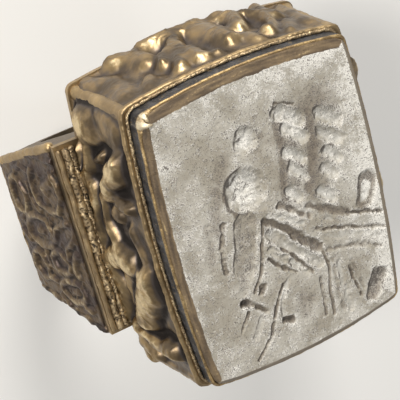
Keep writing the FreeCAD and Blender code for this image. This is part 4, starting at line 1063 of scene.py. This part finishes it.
def shoulder_face(side, sign, rows=190, columns=250):
    """One shoulder's worn face: ovals, lumps and grains raised in one sheet."""
    ledge, down, out, length = shoulder_frame(sign)
    fall, across = np.meshgrid(np.linspace(0.035, 0.985, rows), np.linspace(-1, 1, columns), indexing="ij")
    half = HEAD_BAND + (KEEL_BAND - HEAD_BAND) * fall - 0.12
    y, level = across * half, fall * length
    strokes = []
    for place, share, half_across, half_fall, opening in SCROLLS.values():
        turn = np.linspace(math.pi * opening, math.pi * (2.0 - opening), 41)
        ring_across = HEAD_BAND * (place + half_across * np.cos(turn))
        ring_down = length * share + HEAD_BAND * half_fall * np.sin(turn)
        strokes.append((list(zip(ring_across, ring_down)), (0.42, 0.36), 0.27, 0.9))
    for points, radii, height, steepness in SHOULDER_LUMPS:
        wide = (radii[0] * 1.25, radii[1] * 1.25)
        line = [(HEAD_BAND * a, length * f) for a, f in points]
        strokes.append((line, wide, height * 1.4, steepness + 0.2))
    # Grains scattered on the half nearer the head
    for _ in range(70):
        place, share = rng.uniform(-0.88, 0.88), rng.uniform(0.05, 0.52)
        size = rng.uniform(0.13, 0.24)
        spot = (place * HEAD_BAND * 0.9, share * length)
        strokes.append(([spot], (size, size), rng.uniform(0.08, 0.17), 0.6))
    flat = spots_at(y, level, sign * 7.0)
    sway = clouds(flat, 0.9, 91.0)
    drift = clouds(flat, 0.9, 95.0)
    rise = stroke_field(y + sway * 0.16, level + drift * 0.16, strokes, 0.05)
    rise = softened(rise, 3) * (1 + 0.35 * clouds(flat, 1.3, 99.0, 2))
    rise = rise + 0.05 * sway + 0.030 * clouds(flat, 0.35, 93.0)
    # How far each place lies below its surroundings, where the finish paints shade
    hollow = softened(rise, 30) - rise
    rise = np.clip(rise, -0.10, 0.42)
    spots = ledge + down * level[..., None] + ALONG * y[..., None] + out * (0.14 + rise)[..., None]
    # The sheet's border goes back under the bands
    border = np.ones(y.shape, bool)
    border[1:-1, 1:-1] = False
    spots[border] -= out * (0.24 + rise[border])[:, None]
    faces = grid_faces(rows, columns)
    faces.append(tuple(grid_border(rows, columns)[::-1]))
    full_rise, full_hollow = 0.27, 0.09
    kept = {"rise": rise / full_rise, "hollow": hollow / full_hollow}
    nodes = ["%s_%s" % (side, name) for name in SCROLLS]
    piece(side + "_shoulder_face", spots.reshape(-1, 3), faces, CHASED, nodes, kept)


# Putting it together


def finish_solids():
    """The solids that keep their own shape get their finishes."""
    for name, finish in (
        ("gem_bedding", FILLING), ("gem_seat_plate", BODY), ("head_core", FILLING), ("hoop_core", FILLING),
        ("base_plate", TRIM), ("hoop_casing", BODY), ("hoop_liner", BODY),
    ):
        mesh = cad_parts[name].data
        if not mesh.materials:
            mesh.materials.append(finish)
        for number in range(len(mesh.materials)):
            mesh.materials[number] = finish


def camera():
    """The photograph's view of the ring."""
    across, up, back = (0.8600, -0.2450, 0.4470), (0.3810, 0.8920, -0.2430), (-0.3390, 0.3790, 0.8610)
    back = Vector(back).normalized()
    across = (Vector(across) - back * Vector(across).dot(back)).normalized()
    up = back.cross(across)
    data = bpy.data.cameras.new("photo_view")
    data.lens, data.sensor_width = 108.0, 36.0
    data.clip_start, data.clip_end = 0.002, 10.0
    made = added("photo_view", data)
    place = Vector((-0.03388, 0.03510, 0.09243))
    made.matrix_world = Matrix.Translation(place) @ Matrix((across, up, back)).transposed().to_4x4()
    bpy.context.scene.camera = made


def lamp(name, place, power, size, colour):
    """A soft square lamp that faces the ring's head; places are in metres."""
    data = bpy.data.lights.new(name, "AREA")
    data.energy, data.size, data.color = power, size, colour
    made = added(name, data)
    made.location = place
    made.rotation_euler = (Vector((0.0, 0.0, 0.012)) - Vector(place)).to_track_quat("-Z", "Y").to_euler()


def studio():
    """A pale floor, a pale room and soft lamps."""
    finish = Finish("pale_floor", Roughness=0.9, Specular_IOR_Level=0.1)
    cloud = finish.grain(60.0, 2.0)
    finish.colour = finish.mix(cloud, (0.80, 0.795, 0.78), (0.83, 0.825, 0.81))
    finish.set()
    mesh = bpy.data.meshes.new("floor")
    size, level = 1.5, frame_box[0][2] - 0.00002
    corners = [(-size, -size, level), (size, -size, level), (size, size, level), (-size, size, level)]
    mesh.from_pydata(corners, [], [(0, 1, 2, 3)])
    mesh.materials.append(finish.material)
    added("floor", mesh)
    world = bpy.data.worlds.new("pale_room")
    world.use_nodes = True
    world.node_tree.nodes["Background"].inputs[0].default_value = (0.83, 0.82, 0.80, 1.0)
    world.node_tree.nodes["Background"].inputs[1].default_value = 0.34
    bpy.context.scene.world = world
    lamp("key_lamp", (-0.20, 0.10, 0.24), 0.60, 0.07, (1.0, 0.965, 0.91))
    lamp("fill_lamp", (0.16, -0.20, 0.22), 0.14, 0.20, (0.93, 0.96, 1.0))
    lamp("top_lamp", (0.02, 0.28, 0.15), 0.86, 0.10, (1.0, 0.97, 0.92))


camera()
studio()
bpy.context.scene.view_settings.view_transform = "Standard"
finish_solids()
stone_tablet()
for name, quarter, folds, columns in (
    ("right_side_panel", 0, SIDE_FOLDS, 280),
    ("upper_end_panel", 1, END_FOLDS, 230),
    ("left_side_panel", 2, SIDE_FOLDS, 280),
    ("lower_end_panel", 3, END_FOLDS, 230),
):
    wall(name, quarter, folds, columns).name = name.replace("panel", "wall")
collar()
setting_wire()
rim()
corner_bands()
for side, sign in (("left", -1), ("right", 1)):
    shoulder_trim(side, sign)
    shoulder_face(side, sign)
